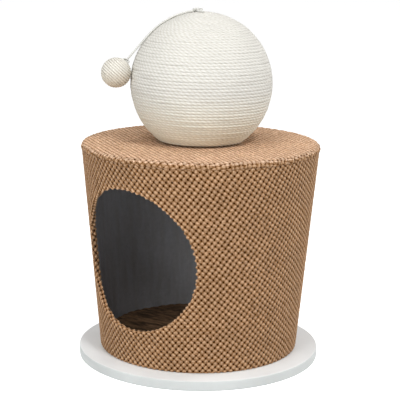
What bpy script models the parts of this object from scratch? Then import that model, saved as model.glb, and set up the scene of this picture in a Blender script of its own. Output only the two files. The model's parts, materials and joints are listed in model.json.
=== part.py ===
"""Cat cave: a plush-covered tapered drum on a round board, with a rope-wound ball and a hanging toy on top.

Everything is in metres. The floor is z = 0, the drum's axis is Z and the entrance faces -Y.
"""

import math

import bmesh
import bpy
import numpy as np
from mathutils import Matrix, Vector

# Gap kept between pieces that touch
CLEARANCE = 0.0003

# Round board that the drum stands on
PLATE_DIAMETER = 0.400
PLATE_THICKNESS = 0.016
PLATE_EDGE_ROUND = 0.0015

# Drum, measured outside its fabric
DRUM_FOOT_DIAMETER = 0.329
DRUM_HEAD_DIAMETER = 0.3914
DRUM_HEIGHT = 0.3434
RIM_ROUND = 0.008
RIM_SEAM_DROP = 0.011

# Layers of the drum, from outside to inside
COVER_THICKNESS = 0.003
WALL_THICKNESS = 0.004
LINING_THICKNESS = 0.0015
FLOOR_THICKNESS = 0.009
TOP_BOARD_THICKNESS = 0.012
TOP_PADDING_THICKNESS = 0.006

# Entrance
ENTRANCE_WIDTH = 0.220
ENTRANCE_HEIGHT = 0.232
ENTRANCE_CENTRE_HEIGHT = 0.1903
LIP_WIDTH = 0.004
LIP_ROUND = 0.003
LIP_PROUD = 0.0005

# Screws that hold the board to the drum's floor
BASE_SCREW_COUNT = 4
BASE_SCREW_CIRCLE_RADIUS = 0.110
BASE_SCREW_DIAMETER = 0.004
BASE_SCREW_HEAD_DIAMETER = 0.008
BASE_SCREW_LENGTH = 0.021
BASE_SCREW_HEAD_DEPTH = 0.0023
BASE_SCREW_SUNK = 0.0008
BASE_SCREW_TIP = 0.003

# Loose mat on the cave's floor
MAT_SIDE_ROOM = 0.0015
MAT_SHOULDER_HEIGHT = 0.005
MAT_EDGE_HEIGHT = 0.009
MAT_CROWN = 0.005
MAT_FABRIC = 0.0022
MAT_SIDE_DRAW = 0.003

# Rope-wound ball, measured outside the rope: each loop stands for two turns and more of the real rope, which
# is 5 mm thick and goes round about 56 times. The rope starts under the knot, a little before the cord
BALL_DIAMETER = 0.2314
BALL_RISE = 0.0952
BALL_SHELL_WALL = 0.006
ROPE_DIAMETER = 0.0107
ROPE_TURN_GAP = 0.0005
ROPE_END_RADIUS = 0.0078
ROPE_START_LAG_DEG = 20.0
ROPE_POINTS_PER_LOOP = 22

# Wooden block inside the ball's foot and the bolt through the drum's top
SEAT_DIAMETER = 0.060
SEAT_THICKNESS = 0.015
INSERT_DIAMETER = 0.011
BOLT_DIAMETER = 0.008
BOLT_LENGTH = 0.040
BOLT_HEAD_WIDTH = 0.013
BOLT_HEAD_HEIGHT = 0.0053
WASHER_DIAMETER = 0.030
WASHER_THICKNESS = 0.0018

# Toy ball, measured outside its winding
TOY_DIAMETER = 0.049
TOY_BEARING_DEG = 229.3
TOY_RISE_DEG = 7.5
TOY_CORD_WOUND_DIAMETER = 0.0050
TOY_TURN_GAP = 0.0005
TOY_WINDING_END_RADIUS = 0.0038
TOY_POINTS_PER_LOOP = 14

# Cord that the toy hangs on, and its two knots
CORD_DIAMETER = 0.003
CORD_LIFT = 0.0004
TOP_KNOT_LOOP = 0.0020
TOP_KNOT_RISE = 0.0020
TOP_KNOT_SEAT = 0.0014
TOY_KNOT_LOOP = 0.00135
TOY_KNOT_STRAND = 0.0020
TOY_KNOT_RISE = 0.0014
TOY_KNOT_SEAT = 0.0013

# Route of the toy's cord, as (reach from the ball's axis, height above the ball's centre), from the top knot
# over the ball to where it leaves the ball, and on from there to the toy's knot
CORD_OVER_BALL = [
    (0.0079, 0.1178),
    (0.0148, 0.1167),
    (0.0215, 0.1157),
    (0.0281, 0.1142),
    (0.0346, 0.1124),
    (0.0410, 0.1103),
    (0.0472, 0.1078),
    (0.0533, 0.1049),
    (0.0591, 0.1017),
    (0.0648, 0.0982),
    (0.0702, 0.0944),
    (0.0753, 0.0904),
    (0.0802, 0.0861),
    (0.0847, 0.0816),
    (0.0891, 0.0768),
]
CORD_TO_TOY = [
    (0.0893, 0.0766),
    (0.0938, 0.0714),
    (0.0985, 0.0660),
    (0.1032, 0.0605),
    (0.1079, 0.0550),
    (0.1126, 0.0495),
    (0.1166, 0.0449),
    (0.1211, 0.0398),
]

# Fineness of the round pieces
DRUM_STEPS = 60
BALL_STEPS = 24
SMALL_STEPS = 20
SCREW_STEPS = 12
ENTRANCE_STEPS = 60
MAT_STEPS = 32
EDGE_ARC_STEPS = 2
ROUND_ARC_STEPS = 3
BALL_ARC_STEPS = 8
KNOT_POINTS = 18
ROUTE_STEPS = 10
TUBE_SPACING_IN_DIAMETERS = 2.5
ROPE_SIDES = 6

# Heights and radii that follow from the sizes above
DRUM_FOOT_Z = PLATE_THICKNESS + CLEARANCE
DRUM_TOP_Z = PLATE_THICKNESS + DRUM_HEIGHT
DRUM_SLOPE = (DRUM_HEAD_DIAMETER - DRUM_FOOT_DIAMETER) / 2 / DRUM_HEIGHT
WALL_INSET = COVER_THICKNESS + CLEARANCE
INSIDE_WALL_INSET = WALL_INSET + WALL_THICKNESS + CLEARANCE
ROOM_INSET = INSIDE_WALL_INSET + LINING_THICKNESS
FLOOR_TOP_Z = DRUM_FOOT_Z + FLOOR_THICKNESS
FLOOR_LINING_Z = FLOOR_TOP_Z + CLEARANCE
ROOM_FLOOR_Z = FLOOR_LINING_Z + LINING_THICKNESS
PADDING_TOP_Z = DRUM_TOP_Z - COVER_THICKNESS - CLEARANCE
BOARD_TOP_Z = PADDING_TOP_Z - TOP_PADDING_THICKNESS - CLEARANCE
BOARD_FOOT_Z = BOARD_TOP_Z - TOP_BOARD_THICKNESS
CEILING_TOP_Z = BOARD_FOOT_Z - CLEARANCE
ROOM_TOP_Z = CEILING_TOP_Z - LINING_THICKNESS
SEAM_Z = DRUM_TOP_Z - RIM_SEAM_DROP
MAT_FOOT_Z = ROOM_FLOOR_Z + CLEARANCE
BALL_RADIUS = BALL_DIAMETER / 2
BALL_CENTRE = Vector((0.0, 0.0, DRUM_TOP_Z + BALL_RISE))
BALL_FOOT_Z = DRUM_TOP_Z + CLEARANCE
BOLT_HOLE_RADIUS = BOLT_DIAMETER / 2 + CLEARANCE
TOY_RADIUS = TOY_DIAMETER / 2


def clear_scene() -> None:
    """Empties the scene of its objects."""
    for thing in list(bpy.data.objects):
        bpy.data.objects.remove(thing, do_unlink=True)


def finish(name: str, colour: tuple, roughness: float, metallic: float = 0.0) -> bpy.types.Material:
    """A Principled material of one colour for one piece."""
    material = bpy.data.materials.new(name + "_finish")
    material.use_nodes = True
    shader = material.node_tree.nodes["Principled BSDF"]
    shader.inputs["Base Color"].default_value = (*colour, 1.0)
    shader.inputs["Roughness"].default_value = roughness
    shader.inputs["Metallic"].default_value = metallic
    return material


BOARD_WHITE = ((0.72, 0.72, 0.71), 0.55)
PLUSH_BROWN = ((0.46, 0.27, 0.15), 0.95)
MAT_BROWN = ((0.10, 0.06, 0.035), 0.95)
PANEL_BROWN = ((0.42, 0.30, 0.19), 0.75)
LINING_GREY = ((0.29, 0.29, 0.30), 0.9)
FOAM_WHITE = ((0.75, 0.74, 0.68), 0.95)
ROPE_WHITE = ((0.80, 0.78, 0.72), 0.9)
PULP_GREY = ((0.42, 0.38, 0.32), 0.9)
BLOCK_WOOD = ((0.62, 0.44, 0.26), 0.7)
ZINC = ((0.62, 0.63, 0.65), 0.35, 1.0)


def add_piece(name: str, shape: bmesh.types.BMesh, look: tuple, smooth: bool = True) -> bpy.types.Object:
    """Turns a finished shape into a named object with its own material."""
    bmesh.ops.remove_doubles(shape, verts=shape.verts, dist=1e-6)
    bmesh.ops.recalc_face_normals(shape, faces=shape.faces)
    mesh = bpy.data.meshes.new(name)
    shape.to_mesh(mesh)
    shape.free()
    if smooth:
        mesh.shade_smooth()
        mesh.set_sharp_from_angle(angle=math.radians(35))
    mesh.materials.append(finish(name, *look))
    piece = bpy.data.objects.new(name, mesh)
    bpy.context.scene.collection.objects.link(piece)
    return piece


def as_helper(piece: bpy.types.Object) -> bpy.types.Object:
    """Marks a shape as a cutter or an addition that isn't a piece by itself."""
    piece.hide_render = True
    piece.display_type = "WIRE"
    return piece


def combine(piece: bpy.types.Object, helper: bpy.types.Object, operation: str) -> None:
    """Cuts a helper out of a piece, or joins it on."""
    change = piece.modifiers.new(operation.lower() + "_" + helper.name, "BOOLEAN")
    change.operation = operation
    change.object = helper
    change.solver = "EXACT"


def hang_on(pieces: list, pivot: bpy.types.Object) -> None:
    """Parents pieces to a pivot without moving them."""
    bpy.context.view_layer.update()
    for piece in pieces:
        piece.parent = pivot
        piece.matrix_parent_inverse = pivot.matrix_world.inverted()


def add_pivot(name: str, place: Vector) -> bpy.types.Object:
    """An empty on a joint's axis."""
    pivot = bpy.data.objects.new(name, None)
    pivot.location = place
    bpy.context.scene.collection.objects.link(pivot)
    return pivot


def turned_shape(profile: list, steps: int) -> bmesh.types.BMesh:
    """Spins a profile of (radius, height) pairs round Z.

    A profile whose ends lie on the axis makes a full solid, and any other profile is closed into a ring.
    """
    shape = bmesh.new()
    corners = [shape.verts.new((radius, 0.0, height)) for radius, height in profile]
    edges = [shape.edges.new(pair) for pair in zip(corners, corners[1:])]
    if profile[0][0] > 0.0 or profile[-1][0] > 0.0:
        edges.append(shape.edges.new((corners[-1], corners[0])))
    bmesh.ops.spin(
        shape,
        geom=corners + edges,
        cent=(0, 0, 0),
        axis=(0, 0, 1),
        angle=2 * math.pi,
        steps=steps,
        use_merge=True,
    )
    bmesh.ops.remove_doubles(shape, verts=shape.verts, dist=1e-6)
    dissolve_flat_poles(shape)
    return shape


def dissolve_flat_poles(shape: bmesh.types.BMesh) -> None:
    """Makes each flat end of a full solid one face, without a point on the axis."""
    poles = []
    for corner in shape.verts:
        rim = [edge.other_vert(corner) for edge in corner.link_edges]
        if math.hypot(corner.co.x, corner.co.y) < 1e-7 and all(abs(v.co.z - corner.co.z) < 1e-7 for v in rim):
            poles.append(corner)
    bmesh.ops.dissolve_verts(shape, verts=poles)


def turned(name: str, profile: list, steps: int, look: tuple, place: Vector = Vector()) -> bpy.types.Object:
    """A named piece of revolution round a vertical axis through a place."""
    piece = add_piece(name, turned_shape(profile, steps), look)
    piece.location = place
    return piece


def arc(centre: tuple, radius: float, start_deg: float, end_deg: float, steps: int) -> list:
    """Points along an arc in the profile plane, both ends included."""
    points = []
    for step in range(steps + 1):
        angle = math.radians(start_deg + (end_deg - start_deg) * step / steps)
        points.append((centre[0] + radius * math.cos(angle), centre[1] + radius * math.sin(angle)))
    return points


def drum_radius(height: float, inset: float = 0.0) -> float:
    """Radius of the tapered drum at a height, less an inset for its layers."""
    return DRUM_FOOT_DIAMETER / 2 + DRUM_SLOPE * (height - PLATE_THICKNESS) - inset


def tapered_shell(foot: float, head: float, inset: float, thickness: float) -> list:
    """Profile of one layer of the drum's wall."""
    return [
        (drum_radius(foot, inset), foot),
        (drum_radius(head, inset), head),
        (drum_radius(head, inset + thickness), head),
        (drum_radius(foot, inset + thickness), foot),
    ]


def tapered_disc(foot: float, head: float, inset: float, hole_radius: float = 0.0) -> list:
    """Profile of a disc that fits inside the tapered drum, with or without a middle hole."""
    return [
        (hole_radius, foot),
        (drum_radius(foot, inset), foot),
        (drum_radius(head, inset), head),
        (hole_radius, head),
    ]


def entrance_point(turn: float, grow: float, depth: float) -> Vector:
    """A point of the entrance's edge: grown outwards from it, at a depth under the drum's surface."""
    across = (ENTRANCE_WIDTH / 2 + grow) * math.cos(turn)
    height = ENTRANCE_CENTRE_HEIGHT + (ENTRANCE_HEIGHT / 2 + grow) * math.sin(turn)
    radius = drum_radius(height, depth)
    return Vector((across, -math.sqrt(radius * radius - across * across), height))


def entrance_cutter(name: str, grow: float) -> bpy.types.Object:
    """An oval prism along Y that opens the front of the drum."""
    shape = bmesh.new()
    rings = []
    for depth in (-DRUM_HEAD_DIAMETER / 4, DRUM_HEAD_DIAMETER / 4):
        ring = []
        for step in range(ENTRANCE_STEPS):
            edge = entrance_point(2 * math.pi * step / ENTRANCE_STEPS, grow, 0.0)
            ring.append(shape.verts.new((edge.x, -DRUM_HEAD_DIAMETER / 2 + depth, edge.z)))
        rings.append(ring)
    shape.faces.new(rings[0])
    shape.faces.new(rings[1])
    for step in range(ENTRANCE_STEPS):
        after = (step + 1) % ENTRANCE_STEPS
        shape.faces.new((rings[0][step], rings[0][after], rings[1][after], rings[1][step]))
    return as_helper(add_piece(name, shape, PLUSH_BROWN, smooth=False))


def entrance_lip(name: str) -> bpy.types.Object:
    """The fabric turned in round the entrance: a rounded ring through the wall."""
    foot = ROOM_INSET + LIP_PROUD
    profile = [(LIP_WIDTH, -LIP_PROUD)]
    profile += arc((LIP_ROUND, LIP_ROUND - LIP_PROUD), LIP_ROUND, 270, 180, ROUND_ARC_STEPS)
    profile += arc((LIP_ROUND, foot - LIP_ROUND), LIP_ROUND, 180, 90, ROUND_ARC_STEPS)
    profile += [(LIP_WIDTH, foot)]
    shape = bmesh.new()
    rings = []
    for step in range(ENTRANCE_STEPS):
        turn = 2 * math.pi * step / ENTRANCE_STEPS
        rings.append([shape.verts.new(entrance_point(turn, grow, depth)) for grow, depth in profile])
    for step, ring in enumerate(rings):
        after = rings[(step + 1) % ENTRANCE_STEPS]
        for index in range(len(profile)):
            beside = (index + 1) % len(profile)
            shape.faces.new((ring[index], ring[beside], after[beside], after[index]))
    return as_helper(add_piece(name, shape, PLUSH_BROWN))


def upright_rod(name: str, radius: float, foot: float, head: float) -> bpy.types.Object:
    """A plain rod on the drum's axis, used to cut a hole or to build up a fastener."""
    shape = bmesh.new()
    bmesh.ops.create_cone(
        shape,
        cap_ends=True,
        segments=SMALL_STEPS,
        radius1=radius,
        radius2=radius,
        depth=head - foot,
        matrix=Matrix.Translation((0, 0, (foot + head) / 2)),
    )
    return as_helper(add_piece(name, shape, ZINC, smooth=False))


def screw_profile(grow: float) -> list:
    """Profile of a countersunk wood screw from below, or of its hole when grown."""
    foot = BASE_SCREW_SUNK if grow == 0.0 else -PLATE_THICKNESS / 4
    head_radius = BASE_SCREW_HEAD_DIAMETER / 2 + grow
    shank_radius = BASE_SCREW_DIAMETER / 2 + grow
    cone_top = BASE_SCREW_SUNK + BASE_SCREW_HEAD_DEPTH
    tip = BASE_SCREW_SUNK + BASE_SCREW_LENGTH + grow
    return [
        (0.0, foot),
        (head_radius, foot),
        (head_radius, BASE_SCREW_SUNK + grow),
        (shank_radius, cone_top + grow),
        (shank_radius, tip - BASE_SCREW_TIP),
        (0.0, tip),
    ]


def screw_places() -> list:
    """Where the screws stand under the drum's floor."""
    places = []
    for index in range(BASE_SCREW_COUNT):
        bearing = 2 * math.pi * (index + 0.5) / BASE_SCREW_COUNT
        across = BASE_SCREW_CIRCLE_RADIUS * math.cos(bearing)
        along = BASE_SCREW_CIRCLE_RADIUS * math.sin(bearing)
        places.append(Vector((across, along, 0.0)))
    return places


def build_base() -> None:
    """The round board, its screws from below and the drum's own floor."""
    edge = PLATE_DIAMETER / 2
    inner = edge - PLATE_EDGE_ROUND
    profile = [(0.0, 0.0)]
    profile += arc((inner, PLATE_EDGE_ROUND), PLATE_EDGE_ROUND, 270, 360, EDGE_ARC_STEPS)
    profile += arc((inner, PLATE_THICKNESS - PLATE_EDGE_ROUND), PLATE_EDGE_ROUND, 0, 90, EDGE_ARC_STEPS)
    profile += [(0.0, PLATE_THICKNESS)]
    plate = turned("base_plate", profile, DRUM_STEPS, BOARD_WHITE)
    floor_profile = tapered_disc(DRUM_FOOT_Z, FLOOR_TOP_Z, INSIDE_WALL_INSET)
    floor = turned("drum_floor", floor_profile, DRUM_STEPS, PANEL_BROWN)
    for index, place in enumerate(screw_places(), start=1):
        turned(f"base_screw_{index}", screw_profile(0.0), SCREW_STEPS, ZINC, place)
        hole = as_helper(
            turned(f"base_screw_hole_{index}", screw_profile(CLEARANCE), SCREW_STEPS, ZINC, place)
        )
        combine(plate, hole, "DIFFERENCE")
        combine(floor, hole, "DIFFERENCE")


def build_drum() -> None:
    """The bent wall with its entrance, the plush outside it and the grey lining inside it."""
    wall_profile = tapered_shell(DRUM_FOOT_Z, BOARD_TOP_Z, WALL_INSET, WALL_THICKNESS)
    wall = turned("drum_wall", wall_profile, DRUM_STEPS, PANEL_BROWN)
    lining_foot = ROOM_FLOOR_Z + CLEARANCE
    lining_head = ROOM_TOP_Z - CLEARANCE
    lining_profile = tapered_shell(lining_foot, lining_head, INSIDE_WALL_INSET, LINING_THICKNESS)
    lining = turned("drum_lining", lining_profile, DRUM_STEPS, LINING_GREY)
    cover_profile = tapered_shell(DRUM_FOOT_Z, SEAM_Z - CLEARANCE, 0.0, COVER_THICKNESS)
    cover = turned("drum_cover", cover_profile, DRUM_STEPS, PLUSH_BROWN)

    board_opening = entrance_cutter("board_opening", LIP_WIDTH + CLEARANCE)
    combine(wall, board_opening, "DIFFERENCE")
    combine(lining, board_opening, "DIFFERENCE")
    combine(cover, entrance_cutter("cover_opening", LIP_WIDTH / 2), "DIFFERENCE")
    combine(cover, entrance_lip("turned_in_edge"), "UNION")

    floor_lining = tapered_disc(FLOOR_LINING_Z, ROOM_FLOOR_Z, INSIDE_WALL_INSET)
    turned("floor_lining", floor_lining, DRUM_STEPS, LINING_GREY)


def build_drum_top() -> None:
    """The board that closes the drum, its padding, the plush over it and the lining under it."""
    board_profile = tapered_disc(BOARD_FOOT_Z, BOARD_TOP_Z, INSIDE_WALL_INSET)
    board = turned("top_board", board_profile, DRUM_STEPS, PANEL_BROWN)
    ceiling_profile = tapered_disc(ROOM_TOP_Z, CEILING_TOP_Z, INSIDE_WALL_INSET)
    ceiling = turned("ceiling_lining", ceiling_profile, DRUM_STEPS, LINING_GREY)

    padding_foot = BOARD_TOP_Z + CLEARANCE
    padding_round = RIM_ROUND - WALL_INSET
    rim_centre = (drum_radius(DRUM_TOP_Z) - RIM_ROUND, DRUM_TOP_Z - RIM_ROUND)
    padding_profile = [(0.0, padding_foot), (drum_radius(padding_foot, WALL_INSET), padding_foot)]
    padding_profile += arc(rim_centre, padding_round, 0, 90, ROUND_ARC_STEPS)
    padding_profile += [(0.0, PADDING_TOP_Z)]
    padding = turned("top_padding", padding_profile, DRUM_STEPS, FOAM_WHITE)

    outer = [(drum_radius(SEAM_Z), SEAM_Z)] + arc(rim_centre, RIM_ROUND, 0, 90, ROUND_ARC_STEPS)
    outer.append((0.0, DRUM_TOP_Z))
    inner = [(0.0, DRUM_TOP_Z - COVER_THICKNESS)]
    inner += arc(rim_centre, RIM_ROUND - COVER_THICKNESS, 90, 0, ROUND_ARC_STEPS)
    inner.append((drum_radius(SEAM_Z, COVER_THICKNESS), SEAM_Z))
    cover = add_piece("top_cover", turned_cap(outer, inner, DRUM_STEPS), PLUSH_BROWN)

    hole_foot = ROOM_TOP_Z - COVER_THICKNESS
    hole = upright_rod("bolt_hole", BOLT_HOLE_RADIUS, hole_foot, DRUM_TOP_Z + COVER_THICKNESS)
    for piece in (board, ceiling, padding, cover):
        combine(piece, hole, "DIFFERENCE")


def build_mat() -> None:
    """The loose mat: a plush top with drawn-in sides, foam, and a flat underside."""
    edge = drum_radius(MAT_FOOT_Z, ROOM_INSET) - MAT_SIDE_ROOM
    foot = edge - MAT_SIDE_DRAW
    shoulder_z = MAT_FOOT_Z + MAT_SHOULDER_HEIGHT
    top_z = MAT_FOOT_Z + MAT_EDGE_HEIGHT
    under_top = MAT_FOOT_Z + MAT_FABRIC
    crown_shares = (0.85, 0.55, 0.0)

    def crown(share: float, drop: float) -> tuple:
        """A point of the crowned top at a share of its radius."""
        rise = MAT_CROWN * (1.0 - share * share)
        return (foot * share, top_z + rise - drop)

    outer = [(foot, MAT_FOOT_Z), (edge, shoulder_z), crown(1.0, 0.0)]
    outer += [crown(share, 0.0) for share in crown_shares]
    inner = [crown(share, MAT_FABRIC) for share in reversed(crown_shares)]
    inner += [(edge - MAT_FABRIC, shoulder_z), (foot - MAT_FABRIC, MAT_FOOT_Z)]
    add_piece("mat_top", turned_cap(outer, inner, MAT_STEPS), MAT_BROWN)

    underside_edge = foot - MAT_FABRIC - CLEARANCE
    underside = [
        (0.0, MAT_FOOT_Z),
        (underside_edge, MAT_FOOT_Z),
        (underside_edge, under_top),
        (0.0, under_top),
    ]
    turned("mat_underside", underside, MAT_STEPS, LINING_GREY)

    drop = MAT_FABRIC + 2 * CLEARANCE
    foam_foot = under_top + CLEARANCE
    foam = [(0.0, foam_foot), (underside_edge - CLEARANCE, foam_foot)]
    foam += [(edge - MAT_FABRIC - 3 * CLEARANCE, shoulder_z)]
    foam += [crown(share, drop) for share in crown_shares]
    turned("mat_foam", foam, MAT_STEPS, FOAM_WHITE)


def turned_cap(outer: list, inner: list, steps: int) -> bmesh.types.BMesh:
    """Spins a dome with a thickness: the outer line ends on the axis, and the inner line starts there."""
    shape = bmesh.new()
    outer_corners = [shape.verts.new((radius, 0.0, height)) for radius, height in outer]
    inner_corners = [shape.verts.new((radius, 0.0, height)) for radius, height in inner]
    edges = [shape.edges.new(pair) for pair in zip(outer_corners, outer_corners[1:])]
    edges += [shape.edges.new(pair) for pair in zip(inner_corners, inner_corners[1:])]
    edges.append(shape.edges.new((inner_corners[-1], outer_corners[0])))
    bmesh.ops.spin(
        shape,
        geom=outer_corners + inner_corners + edges,
        cent=(0, 0, 0),
        axis=(0, 0, 1),
        angle=2 * math.pi,
        steps=steps,
        use_merge=True,
    )
    bmesh.ops.remove_doubles(shape, verts=shape.verts, dist=1e-6)
    dissolve_flat_poles(shape)
    return shape


def tube(name: str, points: list, diameter: float, resolution: int, look: tuple, closed: bool = False):
    """A round tube along points, with filled ends unless it is closed."""
    curve = bpy.data.curves.new(name, "CURVE")
    curve.dimensions = "3D"
    curve.bevel_depth = diameter / 2
    curve.bevel_resolution = resolution
    curve.use_fill_caps = not closed
    line = curve.splines.new("POLY")
    line.points.add(len(points) - 1)
    for target, point in zip(line.points, points):
        target.co = (*point, 1.0)
    line.use_cyclic_u = closed
    line.use_smooth = True
    curve.materials.append(finish(name, *look))
    piece = bpy.data.objects.new(name, curve)
    bpy.context.scene.collection.objects.link(piece)
    return piece


def least_gap(points: list, diameter: float, neighbours: int) -> float:
    """Least free gap between a tube and itself, measured on its points, its next neighbours left out."""
    line = np.array([tuple(point) for point in points])
    apart = np.linalg.norm(line[:, None, :] - line[None, :, :], axis=2)
    order = np.arange(len(points))
    apart[np.abs(order[:, None] - order[None, :]) <= neighbours] = np.inf
    return float(apart.min()) - diameter


def winding(radius: float, first: float, last: float, turns: int, points_per_loop: int) -> list:
    """Points of one unbroken winding on a ball, from an angle off its pole to another, at an even pitch."""
    points = []
    count = turns * points_per_loop
    for index in range(count + 1):
        share = index / count
        fall = first + (last - first) * share
        turn = 2 * math.pi * turns * share
        reach = radius * math.sin(fall)
        points.append(Vector((reach * math.cos(turn), reach * math.sin(turn), radius * math.cos(fall))))
    return points


def wound_ball(
    name: str, outside: float, strand: float, gap: float, end: float, last: float, loop_points: int
) -> tuple:
    """One unbroken winding over a ball, and the radius of the core that fits under it.

    outside is the radius over the winding, end is how far from the pole the winding starts, and last is the
    angle from the pole where it stops.
    """
    line_radius = outside - strand / 2
    first = math.asin(end / line_radius)
    turns = int((last - first) * line_radius / (strand + gap))
    points = winding(line_radius, first, last, turns, loop_points)
    piece = tube(name, points, strand, 1, ROPE_WHITE)
    gap_mm = least_gap(points, strand, loop_points // 2) * 1000
    print(f"{name}: {turns} loops, least gap to itself {gap_mm:.2f} mm")
    strand_inside = strand / 2 * math.cos(math.pi / ROPE_SIDES)
    core_radius = line_radius * math.cos(math.pi / loop_points) - strand_inside - CLEARANCE
    return piece, core_radius


def build_ball() -> None:
    """The rope-wound ball: a hollow core, its foot block and the one long rope round it."""
    line_radius = BALL_RADIUS - ROPE_DIAMETER / 2
    lowest = BALL_FOOT_Z + ROPE_DIAMETER / 2 + CLEARANCE - BALL_CENTRE.z
    last = math.acos(lowest / line_radius)
    rope, core_radius = wound_ball(
        "ball_rope", BALL_RADIUS, ROPE_DIAMETER, ROPE_TURN_GAP, ROPE_END_RADIUS, last, ROPE_POINTS_PER_LOOP
    )
    rope.location = BALL_CENTRE
    rope.rotation_euler.z = math.radians(TOY_BEARING_DEG - ROPE_START_LAG_DEG)

    foot = BALL_FOOT_Z - BALL_CENTRE.z
    inside = core_radius - BALL_SHELL_WALL
    seat_top = foot + SEAT_THICKNESS
    seat_hole = SEAT_DIAMETER / 2 + CLEARANCE
    outer_start = math.degrees(math.asin(foot / core_radius))
    inner_start = math.degrees(math.asin(seat_top / inside))
    outer = [(seat_hole, foot)] + arc((0.0, 0.0), core_radius, outer_start, 90, BALL_ARC_STEPS)
    outer[-1] = (0.0, core_radius)
    inner = arc((0.0, 0.0), inside, 90, inner_start, BALL_ARC_STEPS - 2) + [(seat_hole, seat_top)]
    inner[0] = (0.0, inside)
    core = add_piece("ball_core", turned_cap(outer, inner, BALL_STEPS), PULP_GREY)
    core.location = BALL_CENTRE

    seat_hole_radius = INSERT_DIAMETER / 2 + CLEARANCE
    seat_edge = SEAT_DIAMETER / 2
    seat = [(seat_hole_radius, foot), (seat_edge, foot), (seat_edge, seat_top), (seat_hole_radius, seat_top)]
    turned("ball_seat", seat, BALL_STEPS, BLOCK_WOOD, BALL_CENTRE)
    insert_edge = INSERT_DIAMETER / 2
    insert = [
        (BOLT_HOLE_RADIUS, foot),
        (insert_edge, foot),
        (insert_edge, seat_top),
        (BOLT_HOLE_RADIUS, seat_top),
    ]
    turned("ball_insert", insert, SMALL_STEPS, ZINC, BALL_CENTRE)


def build_bolt() -> None:
    """The bolt and washer that hold the ball down from inside the cave."""
    washer_top = ROOM_TOP_Z - CLEARANCE
    washer_foot = washer_top - WASHER_THICKNESS
    edge = WASHER_DIAMETER / 2
    washer = [
        (BOLT_HOLE_RADIUS, washer_foot),
        (edge, washer_foot),
        (edge, washer_top),
        (BOLT_HOLE_RADIUS, washer_top),
    ]
    turned("ball_washer", washer, SMALL_STEPS, ZINC)

    head_top = washer_foot - CLEARANCE
    shape = bmesh.new()
    bmesh.ops.create_cone(
        shape,
        cap_ends=True,
        segments=6,
        radius1=BOLT_HEAD_WIDTH / math.sqrt(3),
        radius2=BOLT_HEAD_WIDTH / math.sqrt(3),
        depth=BOLT_HEAD_HEIGHT,
        matrix=Matrix.Translation((0, 0, head_top - BOLT_HEAD_HEIGHT / 2)),
    )
    bolt = add_piece("ball_bolt", shape, ZINC)
    shank_foot = head_top - BOLT_HEAD_HEIGHT / 2
    shank = upright_rod("bolt_shank", BOLT_DIAMETER / 2, shank_foot, head_top + BOLT_LENGTH)
    combine(bolt, shank, "UNION")


def knot_points(loop: float, rise: float) -> list:
    """Points of a drawn-up three-lobed knot, lying flat, with one lobe on +X."""
    points = []
    for index in range(KNOT_POINTS):
        turn = 2 * math.pi * index / KNOT_POINTS
        across = loop * (2 * math.cos(2 * turn) - math.cos(turn))
        along = loop * (math.sin(turn) + 2 * math.sin(2 * turn))
        points.append(Vector((across, along, -rise * math.sin(3 * turn))))
    return points


def smooth_route(route: list, spacing: float) -> list:
    """Evenly spaced points on a smooth curve through a route's own points."""
    line = [Vector(point) for point in route]
    line = [2 * line[0] - line[1]] + line + [2 * line[-1] - line[-2]]
    dense = []
    for before, start, end, after in zip(line, line[1:], line[2:], line[3:]):
        for step in range(ROUTE_STEPS):
            share = step / ROUTE_STEPS
            dense.append(
                0.5
                * (
                    2 * start
                    + (end - before) * share
                    + (2 * before - 5 * start + 4 * end - after) * share**2
                    + (3 * start - before - 3 * end + after) * share**3
                )
            )
    dense.append(line[-2])
    lengths = [0.0]
    for start, end in zip(dense, dense[1:]):
        lengths.append(lengths[-1] + (end - start).length)
    count = max(2, round(lengths[-1] / spacing))
    even = []
    for index in range(count + 1):
        target = lengths[-1] * index / count
        place = next(i for i, length in enumerate(lengths) if length >= target - 1e-9)
        if place == 0:
            even.append(dense[0])
            continue
        share = (target - lengths[place - 1]) / (lengths[place] - lengths[place - 1])
        even.append(dense[place - 1].lerp(dense[place], share))
    return even


def toy_direction() -> Vector:
    """The level direction from the ball's axis to the toy."""
    bearing = math.radians(TOY_BEARING_DEG)
    return Vector((math.cos(bearing), math.sin(bearing), 0.0))


def on_cord_plane(reach: float, height: float) -> Vector:
    """A point in the upright plane through the ball's axis and the toy."""
    return BALL_CENTRE + toy_direction() * reach + Vector((0, 0, height))


def toy_centre() -> Vector:
    """Centre of the toy, which rests against the ball."""
    away = BALL_RADIUS + TOY_RADIUS + CORD_LIFT
    rise = math.radians(TOY_RISE_DEG)
    return on_cord_plane(away * math.cos(rise), away * math.sin(rise))


def cord_leaves_ball() -> Vector:
    """Where the straight end of the cord touches the ball on its way to the toy, on the cord's outer side."""
    away = BALL_RADIUS + TOY_RADIUS + CORD_LIFT
    line_radius = BALL_RADIUS + CORD_LIFT + CORD_DIAMETER / 2
    angle = math.radians(TOY_RISE_DEG) + math.acos(line_radius / away)
    outer_side = line_radius + CORD_DIAMETER / 2
    return on_cord_plane(outer_side * math.cos(angle), outer_side * math.sin(angle))


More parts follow.
